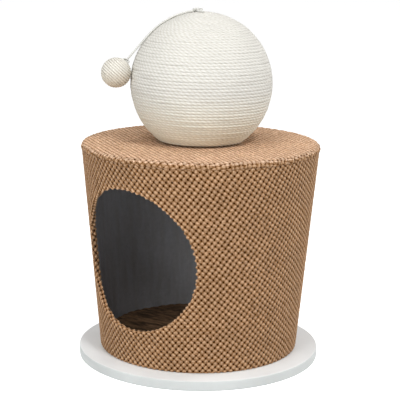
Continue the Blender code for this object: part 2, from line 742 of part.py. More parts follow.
def build_toy() -> None:
    """The toy ball on its cord, and the two knots."""
    bearing = Matrix.Rotation(math.radians(TOY_BEARING_DEG), 4, "Z")
    top_loops = knot_points(TOP_KNOT_LOOP, TOP_KNOT_RISE)
    top_knot = tube("top_knot", top_loops, CORD_DIAMETER, 1, ROPE_WHITE, closed=True)
    knot_height = BALL_RADIUS + TOP_KNOT_RISE + CORD_DIAMETER / 2 + CLEARANCE - TOP_KNOT_SEAT
    top_knot.matrix_world = Matrix.Translation(on_cord_plane(0.0, knot_height)) @ bearing

    spacing = CORD_DIAMETER * TUBE_SPACING_IN_DIAMETERS
    over_ball = smooth_route([on_cord_plane(*point) for point in CORD_OVER_BALL], spacing)
    cord_on_ball = tube("cord_on_ball", over_ball, CORD_DIAMETER, 2, ROPE_WHITE)
    to_toy = smooth_route([on_cord_plane(*point) for point in CORD_TO_TOY], spacing)
    cord_to_toy = tube("cord_to_toy", to_toy, CORD_DIAMETER, 2, ROPE_WHITE)

    centre = toy_centre()
    leaves = cord_leaves_ball()
    to_middle_of_cord = (BALL_CENTRE - leaves).normalized() * CORD_DIAMETER / 2
    towards_cord = (leaves + to_middle_of_cord - centre).normalized()
    tilt = towards_cord.to_track_quat("Z", "Y").to_matrix().to_4x4()
    toy_frame = Matrix.Translation(centre) @ tilt

    last = math.pi - math.asin(TOY_WINDING_END_RADIUS / (TOY_RADIUS - TOY_CORD_WOUND_DIAMETER / 2))
    toy_winding, core_radius = wound_ball(
        "toy_winding",
        TOY_RADIUS,
        TOY_CORD_WOUND_DIAMETER,
        TOY_TURN_GAP,
        TOY_WINDING_END_RADIUS,
        last,
        TOY_POINTS_PER_LOOP,
    )
    toy_winding.matrix_world = toy_frame
    core = arc((0.0, 0.0), core_radius, -90, 90, BALL_ARC_STEPS)
    core[0] = (0.0, -core_radius)
    core[-1] = (0.0, core_radius)
    toy_core = turned("toy_core", core, SMALL_STEPS, PULP_GREY)
    toy_core.matrix_world = toy_frame

    toy_loops = knot_points(TOY_KNOT_LOOP, TOY_KNOT_RISE)
    toy_knot = tube("toy_knot", toy_loops, TOY_KNOT_STRAND, 1, ROPE_WHITE, closed=True)
    knot_away = TOY_RADIUS + TOY_KNOT_RISE + TOY_KNOT_STRAND / 2 + CLEARANCE - TOY_KNOT_SEAT
    toy_knot.matrix_world = toy_frame @ Matrix.Translation((0, 0, knot_away))

    line_pivot = add_pivot("line_pivot", BALL_CENTRE + Vector((0, 0, BALL_RADIUS)))
    toy_pivot = add_pivot("toy_pivot", leaves)
    hang_on([top_knot, cord_on_ball, toy_pivot], line_pivot)
    hang_on([cord_to_toy, toy_knot, toy_core, toy_winding], toy_pivot)


def main() -> None:
    """Builds the cat cave from the floor up."""
    clear_scene()
    build_base()
    build_drum()
    build_drum_top()
    build_mat()
    build_ball()
    build_bolt()
    build_toy()


main()
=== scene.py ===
"""Looks of the cat cave: bobbled plush, felt room, dark mat, white board, rope ball and toy.

Everything is in metres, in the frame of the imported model: the floor is z = 0, the drum's axis is Z and
the entrance faces -Y. Each sub-assembly is a class that holds its sizes and builds and dresses its pieces.
"""

import json
import logging
import math
from dataclasses import dataclass, field
from enum import Enum

import bpy
import numpy as np
from mathutils import Matrix, Vector
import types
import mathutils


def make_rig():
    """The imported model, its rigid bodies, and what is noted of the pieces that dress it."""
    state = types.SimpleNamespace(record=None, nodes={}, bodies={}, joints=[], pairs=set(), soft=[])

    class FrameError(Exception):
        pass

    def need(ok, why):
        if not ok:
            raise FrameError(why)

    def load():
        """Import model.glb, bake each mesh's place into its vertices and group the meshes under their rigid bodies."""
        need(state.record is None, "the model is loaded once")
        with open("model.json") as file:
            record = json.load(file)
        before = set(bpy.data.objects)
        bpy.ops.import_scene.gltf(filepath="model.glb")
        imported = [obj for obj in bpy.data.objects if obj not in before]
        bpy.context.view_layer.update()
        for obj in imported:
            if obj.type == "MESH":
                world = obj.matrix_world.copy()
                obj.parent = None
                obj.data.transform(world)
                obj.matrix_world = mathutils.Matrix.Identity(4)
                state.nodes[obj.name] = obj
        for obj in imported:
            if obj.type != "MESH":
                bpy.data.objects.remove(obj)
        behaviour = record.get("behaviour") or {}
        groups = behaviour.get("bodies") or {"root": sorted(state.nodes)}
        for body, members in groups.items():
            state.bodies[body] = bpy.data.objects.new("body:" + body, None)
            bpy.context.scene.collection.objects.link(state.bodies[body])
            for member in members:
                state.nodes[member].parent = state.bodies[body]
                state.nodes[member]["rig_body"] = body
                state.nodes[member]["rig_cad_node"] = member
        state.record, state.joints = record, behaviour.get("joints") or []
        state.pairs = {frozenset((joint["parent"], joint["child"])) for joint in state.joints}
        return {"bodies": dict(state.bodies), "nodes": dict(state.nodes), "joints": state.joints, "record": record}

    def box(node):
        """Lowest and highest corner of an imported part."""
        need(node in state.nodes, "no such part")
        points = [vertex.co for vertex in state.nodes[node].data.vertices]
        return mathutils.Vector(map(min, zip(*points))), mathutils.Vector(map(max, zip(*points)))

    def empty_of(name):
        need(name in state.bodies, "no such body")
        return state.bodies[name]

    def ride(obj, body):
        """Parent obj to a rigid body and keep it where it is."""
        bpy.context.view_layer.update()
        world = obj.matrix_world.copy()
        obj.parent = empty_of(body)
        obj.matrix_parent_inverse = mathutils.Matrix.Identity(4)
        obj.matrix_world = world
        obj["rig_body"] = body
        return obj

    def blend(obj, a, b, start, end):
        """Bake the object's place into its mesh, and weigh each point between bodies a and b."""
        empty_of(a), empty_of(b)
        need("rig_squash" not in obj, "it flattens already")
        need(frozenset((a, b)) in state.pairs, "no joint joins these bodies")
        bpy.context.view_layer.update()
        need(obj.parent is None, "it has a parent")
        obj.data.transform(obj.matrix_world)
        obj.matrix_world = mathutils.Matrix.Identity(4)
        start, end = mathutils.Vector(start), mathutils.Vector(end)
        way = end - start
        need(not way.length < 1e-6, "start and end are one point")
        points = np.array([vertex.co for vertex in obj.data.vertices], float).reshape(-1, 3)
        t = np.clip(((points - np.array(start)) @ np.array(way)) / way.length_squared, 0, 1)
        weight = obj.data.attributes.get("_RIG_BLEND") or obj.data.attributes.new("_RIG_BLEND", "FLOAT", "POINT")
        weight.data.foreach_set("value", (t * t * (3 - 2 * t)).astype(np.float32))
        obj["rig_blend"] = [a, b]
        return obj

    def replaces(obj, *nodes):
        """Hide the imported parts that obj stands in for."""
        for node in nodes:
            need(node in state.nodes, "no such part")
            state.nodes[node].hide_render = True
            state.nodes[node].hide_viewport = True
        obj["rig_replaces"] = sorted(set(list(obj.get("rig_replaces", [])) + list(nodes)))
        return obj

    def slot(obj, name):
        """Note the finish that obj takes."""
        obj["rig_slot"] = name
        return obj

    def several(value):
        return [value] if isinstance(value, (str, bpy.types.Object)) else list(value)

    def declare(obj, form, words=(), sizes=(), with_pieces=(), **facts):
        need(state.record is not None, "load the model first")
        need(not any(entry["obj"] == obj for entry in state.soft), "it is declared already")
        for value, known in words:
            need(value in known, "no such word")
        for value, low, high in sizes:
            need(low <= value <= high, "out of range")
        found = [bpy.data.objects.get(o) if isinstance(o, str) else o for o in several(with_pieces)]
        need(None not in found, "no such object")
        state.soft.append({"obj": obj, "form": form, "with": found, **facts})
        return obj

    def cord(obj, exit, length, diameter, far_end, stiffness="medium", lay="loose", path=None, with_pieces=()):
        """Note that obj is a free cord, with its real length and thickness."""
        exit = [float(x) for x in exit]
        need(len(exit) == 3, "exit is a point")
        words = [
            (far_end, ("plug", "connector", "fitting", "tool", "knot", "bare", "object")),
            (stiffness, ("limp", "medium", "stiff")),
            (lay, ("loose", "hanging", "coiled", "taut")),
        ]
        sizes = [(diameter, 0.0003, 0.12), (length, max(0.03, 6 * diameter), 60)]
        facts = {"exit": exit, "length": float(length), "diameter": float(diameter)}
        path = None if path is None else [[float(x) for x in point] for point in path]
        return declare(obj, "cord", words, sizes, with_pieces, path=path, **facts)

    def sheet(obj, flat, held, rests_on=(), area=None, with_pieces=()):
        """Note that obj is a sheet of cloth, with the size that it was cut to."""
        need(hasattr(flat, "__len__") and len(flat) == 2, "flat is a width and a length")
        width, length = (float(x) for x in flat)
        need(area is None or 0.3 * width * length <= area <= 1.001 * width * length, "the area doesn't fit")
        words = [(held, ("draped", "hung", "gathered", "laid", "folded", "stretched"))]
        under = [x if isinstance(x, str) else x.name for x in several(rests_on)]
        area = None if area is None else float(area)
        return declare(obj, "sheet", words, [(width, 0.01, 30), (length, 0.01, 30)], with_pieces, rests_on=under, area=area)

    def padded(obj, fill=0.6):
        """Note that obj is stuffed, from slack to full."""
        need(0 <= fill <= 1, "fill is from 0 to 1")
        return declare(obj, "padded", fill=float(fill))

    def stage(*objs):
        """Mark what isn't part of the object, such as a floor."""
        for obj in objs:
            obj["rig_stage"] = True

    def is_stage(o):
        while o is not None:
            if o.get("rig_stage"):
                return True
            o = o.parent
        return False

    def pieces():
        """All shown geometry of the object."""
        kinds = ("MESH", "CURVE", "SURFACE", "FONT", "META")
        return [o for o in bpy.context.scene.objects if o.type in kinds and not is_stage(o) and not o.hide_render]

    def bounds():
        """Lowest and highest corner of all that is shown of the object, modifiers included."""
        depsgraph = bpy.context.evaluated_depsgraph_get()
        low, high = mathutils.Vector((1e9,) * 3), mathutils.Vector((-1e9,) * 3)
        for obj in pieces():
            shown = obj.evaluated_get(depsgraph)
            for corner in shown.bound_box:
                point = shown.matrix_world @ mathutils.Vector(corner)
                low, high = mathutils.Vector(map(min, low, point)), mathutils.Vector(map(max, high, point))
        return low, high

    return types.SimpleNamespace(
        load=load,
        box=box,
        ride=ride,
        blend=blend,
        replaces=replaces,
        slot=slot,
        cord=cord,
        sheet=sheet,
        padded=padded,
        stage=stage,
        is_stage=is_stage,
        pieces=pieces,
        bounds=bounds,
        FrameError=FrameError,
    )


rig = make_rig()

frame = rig.load()
CAD_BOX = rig.bounds()

LOG = logging.getLogger("cat_cave")
SIZE_FILE = "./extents.json"
ENTRANCE_AREA = 0.041
BOLT_HOLE = 0.0043

Array = np.ndarray
Colour = tuple[float, float, float]
Material = bpy.types.Material
Piece = bpy.types.Object
Socket = bpy.types.NodeSocket


class Body(Enum):
    """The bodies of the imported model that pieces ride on."""

    CAVE = "cave"
    MAT = "mat"
    TOY_LINE = "toy_line"
    TOY = "toy"


class Slot(Enum):
    """The record's material slots that new pieces take their finish from."""

    BOARD = "board"
    PLUSH = "plush"
    LINING = "lining"
    MAT_PLUSH = "mat_plush"
    FOAM = "foam"
    ROPE = "rope"
    CORD = "cord"
    PULP = "pulp"


def linear(red: int, green: int, blue: int) -> Colour:
    """Turns a colour as a screen shows it into the linear values that Blender works in.

    Args:
        red: Red from 0 to 255.
        green: Green from 0 to 255.
        blue: Blue from 0 to 255.

    Returns:
        The three linear values from 0 to 1.
    """

    def channel(level: int) -> float:
        """Gives the linear value of one channel."""
        share = level / 255.0
        return share / 12.92 if share <= 0.04045 else ((share + 0.055) / 1.055) ** 2.4

    return channel(red), channel(green), channel(blue)


def add_node(tree: bpy.types.NodeTree, kind: str, inputs: dict = None, **settings: str) -> bpy.types.Node:
    """Adds a node to a material or to the world.

    Args:
        tree: The nodes that it joins.
        kind: Blender's name of the node.
        inputs: Its inputs by name or number, each a value or the socket that feeds it.
        settings: Its other settings, which are made first.

    Returns:
        The node.
    """
    node = tree.nodes.new(kind)
    for name, choice in settings.items():
        setattr(node, name, choice)
    for key, value in (inputs or {}).items():
        if isinstance(value, Socket):
            tree.links.new(value, node.inputs[key])
        else:
            node.inputs[key].default_value = value
    return node


@dataclass(frozen=True)
class Grain:
    """A cloudy noise in a finish: its clouds in a metre, its finer layers and their weight, and its use.

    It may be drawn out along an axis, shade the colour between two strengths, or raise the surface by a
    strength and a depth.
    """

    size: float
    detail: float = 3.0
    rough: float = 0.55
    stretch: tuple = ()
    shade: tuple = ()
    bump: tuple = ()


class Recipe:
    """Builds the nodes of one material round its Principled shader."""

    def __init__(self, name: str, roughness: float, specular: float = 0.5, metallic: float = 0.0) -> None:
        """Starts a material.

        Args:
            name: The material's name.
            roughness: The shader's roughness, the same all over.
            specular: The shader's specular level.
            metallic: 1.0 for bare metal.
        """
        self.material = bpy.data.materials.new(name)
        self.material.use_nodes = True
        self.tree = self.material.node_tree
        self.shader = self.tree.nodes["Principled BSDF"]
        self.shader.inputs["Roughness"].default_value = roughness
        self.shader.inputs["Metallic"].default_value = metallic
        self.shader.inputs["Specular IOR Level"].default_value = specular
        self.normal = None

    def place(self) -> Socket:
        """Gives the point in the object's own space."""
        return add_node(self.tree, "ShaderNodeTexCoord").outputs["Object"]

    def attribute(self, name: str) -> bpy.types.Node:
        """Reads a value that the mesh carries at each corner."""
        return add_node(self.tree, "ShaderNodeAttribute", attribute_name=name)

    def parts(self, place: Socket) -> bpy.types.NodeOutputs:
        """Splits a place into its X, Y and Z."""
        return add_node(self.tree, "ShaderNodeSeparateXYZ", {"Vector": place}).outputs

    def noise(self, place: Socket, grain: Grain) -> Socket:
        """Adds a cloudy noise.

        Args:
            place: The place to read it at.
            grain: How fine and how drawn out it is.

        Returns:
            A value around 0.5.
        """
        if grain.stretch:
            mapping = add_node(self.tree, "ShaderNodeMapping", {"Vector": place, "Scale": grain.stretch})
            place = mapping.outputs["Vector"]
        inputs = {"Vector": place, "Scale": grain.size, "Detail": grain.detail, "Roughness": grain.rough}
        return add_node(self.tree, "ShaderNodeTexNoise", inputs).outputs["Fac"]

    def maths(self, operation: str, first: object, second: object = 0.0) -> Socket:
        """Adds one sum of two sockets or numbers."""
        return add_node(self.tree, "ShaderNodeMath", {0: first, 1: second}, operation=operation).outputs[0]

    def halfway(self, count: Socket) -> Socket:
        """Gives 0 where a count is whole, and 1 half-way to the next."""
        swing = self.maths("COSINE", self.maths("MULTIPLY", count, 2.0 * math.pi))
        return self.maths("MULTIPLY", self.maths("SUBTRACT", 1.0, swing), 0.5)

    def ramp(self, source: Socket, stops: list) -> Socket:
        """Turns a value into a colour.

        Args:
            source: The value from 0 to 1.
            stops: Pairs of a place from 0 to 1 and a colour.

        Returns:
            The colour.
        """
        node = add_node(self.tree, "ShaderNodeValToRGB", {"Fac": source})
        points = node.color_ramp.elements
        while len(points) < len(stops):
            points.new(0.5)
        for point, (where, colour) in zip(points, stops):
            point.position = where
            point.color = (*colour, 1.0)
        return node.outputs["Color"]

    def multiplied(self, colour: Socket, factor: Socket) -> Socket:
        """Multiplies a colour by another, or by a value."""
        inputs = {"Factor": 1.0, "A": colour, "B": factor}
        node = add_node(self.tree, "ShaderNodeMix", inputs, data_type="RGBA", blend_type="MULTIPLY")
        return node.outputs["Result"]

    def shaded(self, colour: Socket, value: Socket, low: float, high: float) -> Socket:
        """Makes a colour darker or lighter, by low where a value is 0 and by high where it is 1."""
        reach = add_node(self.tree, "ShaderNodeMapRange", {"Value": value, "To Min": low, "To Max": high})
        return self.multiplied(colour, reach.outputs["Result"])

    def bump(self, height: Socket, strength: float, depth: float) -> None:
        """Raises the surface by a value, on top of any earlier bump.

        Args:
            height: The value from 0 to 1.
            strength: Share of the effect.
            depth: Height of a full step.
        """
        inputs = {"Strength": strength, "Distance": depth, "Height": height}
        if self.normal is not None:
            inputs["Normal"] = self.normal
        self.normal = add_node(self.tree, "ShaderNodeBump", inputs).outputs["Normal"]

    def sheen(self, weight: float, roughness: float, tint: Colour) -> None:
        """Gives the soft edge glow of short pile.

        Args:
            weight: Strength of the sheen.
            roughness: Spread of the sheen.
            tint: Its colour.
        """
        self.shader.inputs["Sheen Weight"].default_value = weight
        self.shader.inputs["Sheen Roughness"].default_value = roughness
        self.shader.inputs["Sheen Tint"].default_value = (*tint, 1.0)

    def done(self, colour: Socket) -> Material:
        """Joins the colour and the bumps to the shader.

        Args:
            colour: The base colour.

        Returns:
            The finished material.
        """
        self.tree.links.new(colour, self.shader.inputs["Base Color"])
        if self.normal is not None:
            self.tree.links.new(self.normal, self.shader.inputs["Normal"])
        return self.material


@dataclass(frozen=True)
class BobblePlush:
    """Light brown plush, its colour painted dark in the pits and grooves between the bobbles as shade and pale on
    their crowns as a highlight.
    """

    name: str = "bobble_plush"
    gain: float = 0.85
    # Colours from pit to tip: pit, hollow and groove are painted shade in the recesses, and tip is a painted highlight
    # on the crowns.
    pit: Colour = linear(44, 14, 0)
    hollow: Colour = linear(84, 44, 12)
    groove: Colour = linear(140, 100, 62)
    flank: Colour = linear(174, 135, 100)
    tip: Colour = linear(214, 177, 142)
    colours_at: tuple = (0.0, 0.25, 0.52, 0.76, 1.0)
    level: float = 0.74
    crown_height: float = 0.24
    painted_highlight_lift: float = 0.12
    groove_depth: float = 0.19
    groove_power: float = 5.0
    pit_depth: float = 0.78
    pit_power: float = 2.0
    relief_bump: tuple = (0.6, 0.0026)
    tone_and_painted_light_range: tuple = (0.60, 1.40)
    pile: Grain = Grain(1100.0, 2.0, 0.7, bump=(0.5, 0.0007))
    speckles: Grain = Grain(430.0, 2.0, 0.6, bump=(0.5, 0.0012))
    speckle_share: float = 1.1
    cloud: Grain = Grain(22.0, shade=(0.88, 1.12))
    sheen: tuple = (0.42, 0.24, linear(255, 236, 218))

    def relief(self, recipe: Recipe) -> Socket:
        """Works out how high a point lies, from the mesh's counts of bobbles along the two diagonals.

        Args:
            recipe: The material that is being built.

        Returns:
            A value from 0 in the upright pits beside a bobble to 1 on its crown.
        """
        maths, halfway = recipe.maths, recipe.halfway
        counts = recipe.parts(recipe.attribute("bobble").outputs["Vector"])
        first, second, softness = counts["X"], counts["Y"], counts["Z"]
        one, other = halfway(first), halfway(second)
        # The crown is moved up each bobble by the shift: a painted highlight on its upper side, as if lit from above.
        upper = halfway(maths("SUBTRACT", first, self.painted_highlight_lift))
        side = halfway(maths("ADD", second, self.painted_highlight_lift))
        crown = maths("MULTIPLY", maths("SUBTRACT", 1.0, upper), maths("SUBTRACT", 1.0, side))
        one_groove, other_groove = (maths("POWER", count, self.groove_power) for count in (one, other))
        grooves = maths("ADD", one_groove, other_groove)
        narrow = maths("SUBTRACT", 1.0, halfway(maths("ADD", first, second)))
        pits = maths("MULTIPLY", maths("POWER", maths("MULTIPLY", one, other), self.pit_power), narrow)
        pits = maths("MULTIPLY", pits, maths("SUBTRACT", 1.0, softness))
        raised = maths("ADD", self.level, maths("MULTIPLY", crown, self.crown_height))
        lowered = maths("SUBTRACT", raised, maths("MULTIPLY", grooves, self.groove_depth))
        return maths("SUBTRACT", lowered, maths("MULTIPLY", pits, self.pit_depth))

    def material(self) -> Material:
        """Builds the material."""
        recipe = Recipe(self.name, roughness=0.95, specular=0.02)
        relief = self.relief(recipe)
        place = recipe.place()
        strands = recipe.noise(place, self.pile)
        speckles = recipe.noise(place, self.speckles)
        uneven = recipe.maths("MULTIPLY", recipe.maths("SUBTRACT", speckles, 0.5), self.speckle_share)
        colours = (self.pit, self.hollow, self.groove, self.flank, self.tip)
        colour = recipe.ramp(recipe.maths("ADD", relief, uneven), list(zip(self.colours_at, colours)))
        # The tint attribute holds each bobble's own tone, plus painted light near the entrance and over the top's rim.
        colour = recipe.shaded(colour, recipe.attribute("tint").outputs["Fac"], *self.tone_and_painted_light_range)
        dim, bright = self.cloud.shade
        colour = recipe.shaded(colour, recipe.noise(place, self.cloud), dim * self.gain, bright * self.gain)
        recipe.bump(relief, *self.relief_bump)
        recipe.bump(strands, *self.pile.bump)
        recipe.bump(speckles, *self.speckles.bump)
        recipe.sheen(*self.sheen)
        return recipe.done(colour)


@dataclass(frozen=True)
class Strand:
    """Twisted yarn or rope, its colour painted darker in the creases as shade and lighter on the crowns as a
    highlight, by how far round and along each strand a point lies.
    """

    name: str
    crease: Colour
    body: Colour
    crown: Colour
    fibre: float = 2600.0
    depth: float = 0.0004
    body_at: float = 0.45
    drawn_out: tuple = (0.14, 1.0, 1.0)
    fibre_share: float = 0.5
    fibre_bump: float = 0.6
    tuft_bump: float = 0.35
    tufts: Grain = Grain(520.0, 3.0, 0.6, shade=(0.90, 1.08))
    stains: Grain = Grain(26.0, 4.0, 0.6, shade=(0.93, 1.05))
    sheen: tuple = (0.08, 0.5, linear(255, 250, 238))
    # The next two fields paint the plush's warm bounce light onto the lowest turns, and painted shade under the toy.
    painted_bounce_heights: tuple = ()
    painted_bounce_tint: Colour = (1.0, 1.0, 0.89)
    plain_tint: Colour = (0.77, 0.765, 0.75)

    def with_painted_bounce(self, recipe: Recipe, colour: Socket) -> Socket:
        """Paints bounce light and shade onto the rope's lowest turns: lighter and warmer on the ball, as if lit from
        the brown plush, and darker and warmer under the toy.

        Args:
            recipe: The material that is being built.
            colour: The colour so far.

        Returns:
            The tinted colour.
        """
        low, high = self.painted_bounce_heights
        height = recipe.parts(recipe.place())["Z"]
        share = recipe.maths("DIVIDE", recipe.maths("SUBTRACT", height, low), high - low)
        return recipe.multiplied(colour, recipe.ramp(share, [(0.0, self.painted_bounce_tint), (1.0, self.plain_tint)]))

    def material(self) -> Material:
        """Builds the material."""
        recipe = Recipe(self.name, roughness=0.82, specular=0.18)
        yarn = recipe.attribute("yarn").outputs["Vector"]
        place = recipe.place()
        fibres = recipe.noise(yarn, Grain(self.fibre, 3.0, 0.7, self.drawn_out))
        tufts = recipe.noise(place, self.tufts)
        uneven = recipe.maths("MULTIPLY", recipe.maths("SUBTRACT", fibres, 0.5), self.fibre_share)
        height = recipe.maths("ADD", recipe.attribute("lobe").outputs["Fac"], uneven)
        # The crease colour is painted shade, and the crown colour a painted highlight.
        colour = recipe.ramp(height, [(0.0, self.crease), (self.body_at, self.body), (1.0, self.crown)])
        colour = recipe.shaded(colour, recipe.noise(place, self.stains), *self.stains.shade)
        colour = recipe.shaded(colour, tufts, *self.tufts.shade)
        # Painted bounce light and shade towards the lowest turns.
        if self.painted_bounce_heights:
            colour = self.with_painted_bounce(recipe, colour)
        recipe.bump(fibres, self.fibre_bump, self.depth)
        recipe.bump(tufts, self.tuft_bump, self.depth)
        recipe.sheen(*self.sheen)
        return recipe.done(colour)


@dataclass(frozen=True)
class Softwood:
    """Raw softwood with its year rings as curved bands."""

    early: Colour = linear(214, 180, 134)
    late: Colour = linear(164, 116, 70)
    early_until: float = 0.35
    late_from: float = 0.95
    rings: float = 55.0
    distortion: float = 2.5
    grain: Grain = Grain(900.0, stretch=(0.08, 1.0, 1.0), shade=(0.9, 1.08), bump=(0.3, 0.0002))

    def material(self) -> Material:
        """Builds the material."""
        recipe = Recipe("softwood", roughness=0.65, specular=0.3)
        place = recipe.place()
        inputs = {"Vector": place, "Scale": self.rings, "Distortion": self.distortion, "Detail": 3.0}
        rings = add_node(recipe.tree, "ShaderNodeTexWave", inputs, wave_type="RINGS", rings_direction="X")
        grain = recipe.noise(place, self.grain)
        stops = [(self.early_until, self.early), (self.late_from, self.late)]
        colour = recipe.shaded(recipe.ramp(rings.outputs["Fac"], stops), grain, *self.grain.shade)
        recipe.bump(grain, *self.grain.bump)
        return recipe.done(colour)


@dataclass(frozen=True)
class PlainFinish:
    """A finish of two colours between which its first grain blends, with any finer grains on top."""

    name: str
    dark: Colour
    light: Colour
    blend: tuple
    grains: tuple
    roughness: float
    specular: float = 0.5
    metallic: float = 0.0
    sheen: tuple = ()

    def material(self) -> Material:
        """Builds the material."""
        recipe = Recipe(self.name, self.roughness, self.specular, self.metallic)
        place = recipe.place()
        noises = [recipe.noise(place, grain) for grain in self.grains]
        colour = recipe.ramp(noises[0], list(zip(self.blend, (self.dark, self.light))))
        for grain, noise in zip(self.grains, noises):
            if grain.shade:
                colour = recipe.shaded(colour, noise, *grain.shade)
            if grain.bump:
                recipe.bump(noise, *grain.bump)
        if self.sheen:
            recipe.sheen(*self.sheen)
        return recipe.done(colour)


def felt(name: str, dark: Colour, light: Colour, streaks: tuple) -> PlainFinish:
    """Gives a pressed felt, with faint streaks where it was rolled on.

    Args:
        name: The finish's name.
        dark: Its darker colour.
        light: Its lighter colour.
        streaks: How far the streaks are drawn out along each axis.

    Returns:
        The finish.
    """
    grains = (
        Grain(85.0, 3.0, 0.6, stretch=streaks, bump=(0.15, 0.0012)),
        Grain(150.0, 3.0, 0.6, shade=(0.82, 1.18)),
        Grain(700.0, 4.0, 0.75, shade=(0.82, 1.18), bump=(0.5, 0.0006)),
    )
    sheen = (0.12, 0.5, linear(170, 176, 190))
    return PlainFinish(name, dark, light, (0.3, 0.7), grains, roughness=0.88, specular=0.2, sheen=sheen)


def paint(name: str, shade: Colour, light: Colour) -> PlainFinish:
    """Gives a smooth matt paint, with soft rub marks and the faintest roller texture."""
    grains = (Grain(9.0, 4.0), Grain(420.0, 3.0, 0.6, shade=(0.985, 1.015), bump=(0.25, 0.0003)))
    return PlainFinish(name, shade, light, (0.3, 0.7), grains, roughness=0.5, specular=0.35)


class Finishes:
    """One material of each finish, made once and shared by the pieces."""

    def __init__(self) -> None:
        """Builds every material."""
        self.plush = BobblePlush().material()
        # A lighter copy of the wall's plush for the top: painted light, as the top takes more light from above than
        # the wall.
        self.top_lit_plush = BobblePlush(
            name="top_lit_plush",
            gain=1.30,
            groove=linear(154, 120, 90),
            flank=linear(186, 153, 126),
            tip=linear(216, 187, 161),
        ).material()
        self.mat_plush = PlainFinish(
            name="mat_plush",
            dark=linear(52, 39, 27),
            light=linear(140, 108, 79),
            blend=(0.36, 0.66),
            grains=(
                Grain(34.0, 4.0, 0.65, stretch=(1.0, 3.2, 1.0), bump=(0.6, 0.004)),
                Grain(900.0, 2.0, 0.7, shade=(0.75, 1.25), bump=(0.6, 0.0009)),
            ),
            roughness=0.9,
            specular=0.15,
            sheen=(0.15, 0.4, linear(150, 120, 96)),
        ).material()
        self.felt = felt("felt", linear(165, 163, 163), linear(176, 177, 181), (1.0, 1.0, 0.12)).material()
        self.mat_back = felt("mat_back", linear(44, 44, 47), linear(60, 60, 64), (1.0, 1.0, 1.0)).material()
        self.board = paint("painted_board", linear(228, 229, 229), linear(239, 241, 241)).material()
        # A darker copy of the board's paint for its upright edge: painted shade, as the edge takes less light than the
        # top.
        self.edge_painted_shade = paint("board_edge_painted_shade", linear(198, 202, 201), linear(208, 212, 211)).material()
        self.rope = Strand(
            name="sisal",
            crease=linear(228, 225, 215),
            body=linear(239, 237, 232),
            crown=linear(246, 245, 241),
            # Painted bounce light from the brown plush on the ball's lowest turns.
            painted_bounce_heights=(0.360, 0.450),
        ).material()
        self.cord = Strand(
            name="cotton_cord",
            crease=linear(196, 194, 187),
            body=linear(212, 212, 207),
            crown=linear(220, 220, 217),
            fibre=4200.0,
            depth=0.0002,
        ).material()
        self.twine = Strand(
            name="wound_twine",
            crease=linear(134, 108, 76),
            body=linear(204, 199, 187),
            crown=linear(224, 221, 213),
            fibre=4200.0,
            depth=0.0002,
            # Painted shade and warm bounce light under the toy.
            painted_bounce_heights=(0.450, 0.480),
            painted_bounce_tint=(0.93, 0.83, 0.71),
            plain_tint=(1.0, 1.0, 1.0),
        ).material()
        self.panel = PlainFinish(
            name="raw_panel",
            dark=linear(140, 108, 76),
            light=linear(184, 152, 116),
            blend=(0.35, 0.65),
            grains=(Grain(520.0, 5.0, 0.75, bump=(0.3, 0.0003)), Grain(30.0, shade=(0.92, 1.08))),
            roughness=0.8,
            specular=0.25,
        ).material()
        self.softwood = Softwood().material()
        self.zinc = PlainFinish(
            name="zinc_plate",
            dark=linear(150, 154, 160),
            light=linear(206, 208, 212),
            blend=(0.3, 0.7),
            grains=(Grain(260.0, 4.0), Grain(1500.0, 2.0, stretch=(1.0, 1.0, 7.0), bump=(0.2, 0.00005))),
            roughness=0.34,
            metallic=1.0,
        ).material()
        self.pulp = PlainFinish(
            name="moulded_pulp",
            dark=linear(138, 126, 110),
            light=linear(178, 168, 150),
            blend=(0.32, 0.68),
            grains=(
                Grain(420.0, 5.0, 0.7, stretch=(1.0, 0.35, 1.0), bump=(0.4, 0.0004)),
                Grain(60.0, shade=(0.92, 1.06), bump=(0.3, 0.002)),
            ),
            roughness=0.9,
            specular=0.2,
        ).material()
        self.wadding = PlainFinish(
            name="wadding",
            dark=linear(216, 214, 206),
            light=linear(240, 239, 234),
            blend=(0.35, 0.65),
            grains=(Grain(240.0, 5.0, 0.7, bump=(0.7, 0.0015)),),
            roughness=0.95,
            specular=0.1,
            sheen=(0.3, 0.6, linear(255, 255, 252)),
        ).material()


def linked(name: str, data: bpy.types.ID) -> Piece:
    """Makes an object of a mesh, a camera or a lamp, and puts it in the scene."""
    made = bpy.data.objects.new(name, data)
    bpy.context.scene.collection.objects.link(made)
    return made


def new_piece(name: str, points: Array, faces: list, materials: list, values: dict = None) -> Piece:
    """Makes a smooth mesh object.

    Args:
        name: The piece's name.
        points: Its corners, one row each.
        faces: Its faces, each a row of corner numbers.
        materials: Its materials.
        values: Numbers or triples for each corner, by attribute name.

    Returns:
        The new object, linked into the scene.
    """
    mesh = bpy.data.meshes.new(name)
    rows = faces if isinstance(faces, list) else faces.tolist()
    mesh.from_pydata(np.asarray(points, float).tolist(), [], rows)
    for key, numbers in (values or {}).items():
        numbers = np.asarray(numbers, np.float32)
        if numbers.ndim == 1:
            mesh.attributes.new(key, "FLOAT", "POINT").data.foreach_set("value", numbers)
        else:
            mesh.attributes.new(key, "FLOAT_VECTOR", "POINT").data.foreach_set("vector", numbers.ravel())
    mesh.validate()
    mesh.shade_smooth()
    for material in materials:
        mesh.materials.append(material)
    return linked(name, mesh)


def seat(piece: Piece, body: Body, slot: Slot, *nodes: str) -> Piece:
    """Puts a finished piece on its body, in its slot and in place of its CAD nodes.

    Args:
        piece: The piece.
        body: The body that it rides on.
        slot: The record's slot that it takes its finish from.
        nodes: The CAD nodes that it stands for.

    Returns:
        The same piece.
    """
    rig.ride(piece, body.value)
    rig.slot(piece, slot.value)
    if nodes:
        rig.replaces(piece, *nodes)
    LOG.info("%s: %d faces on %s", piece.name, len(piece.data.polygons), body.value)
    return piece


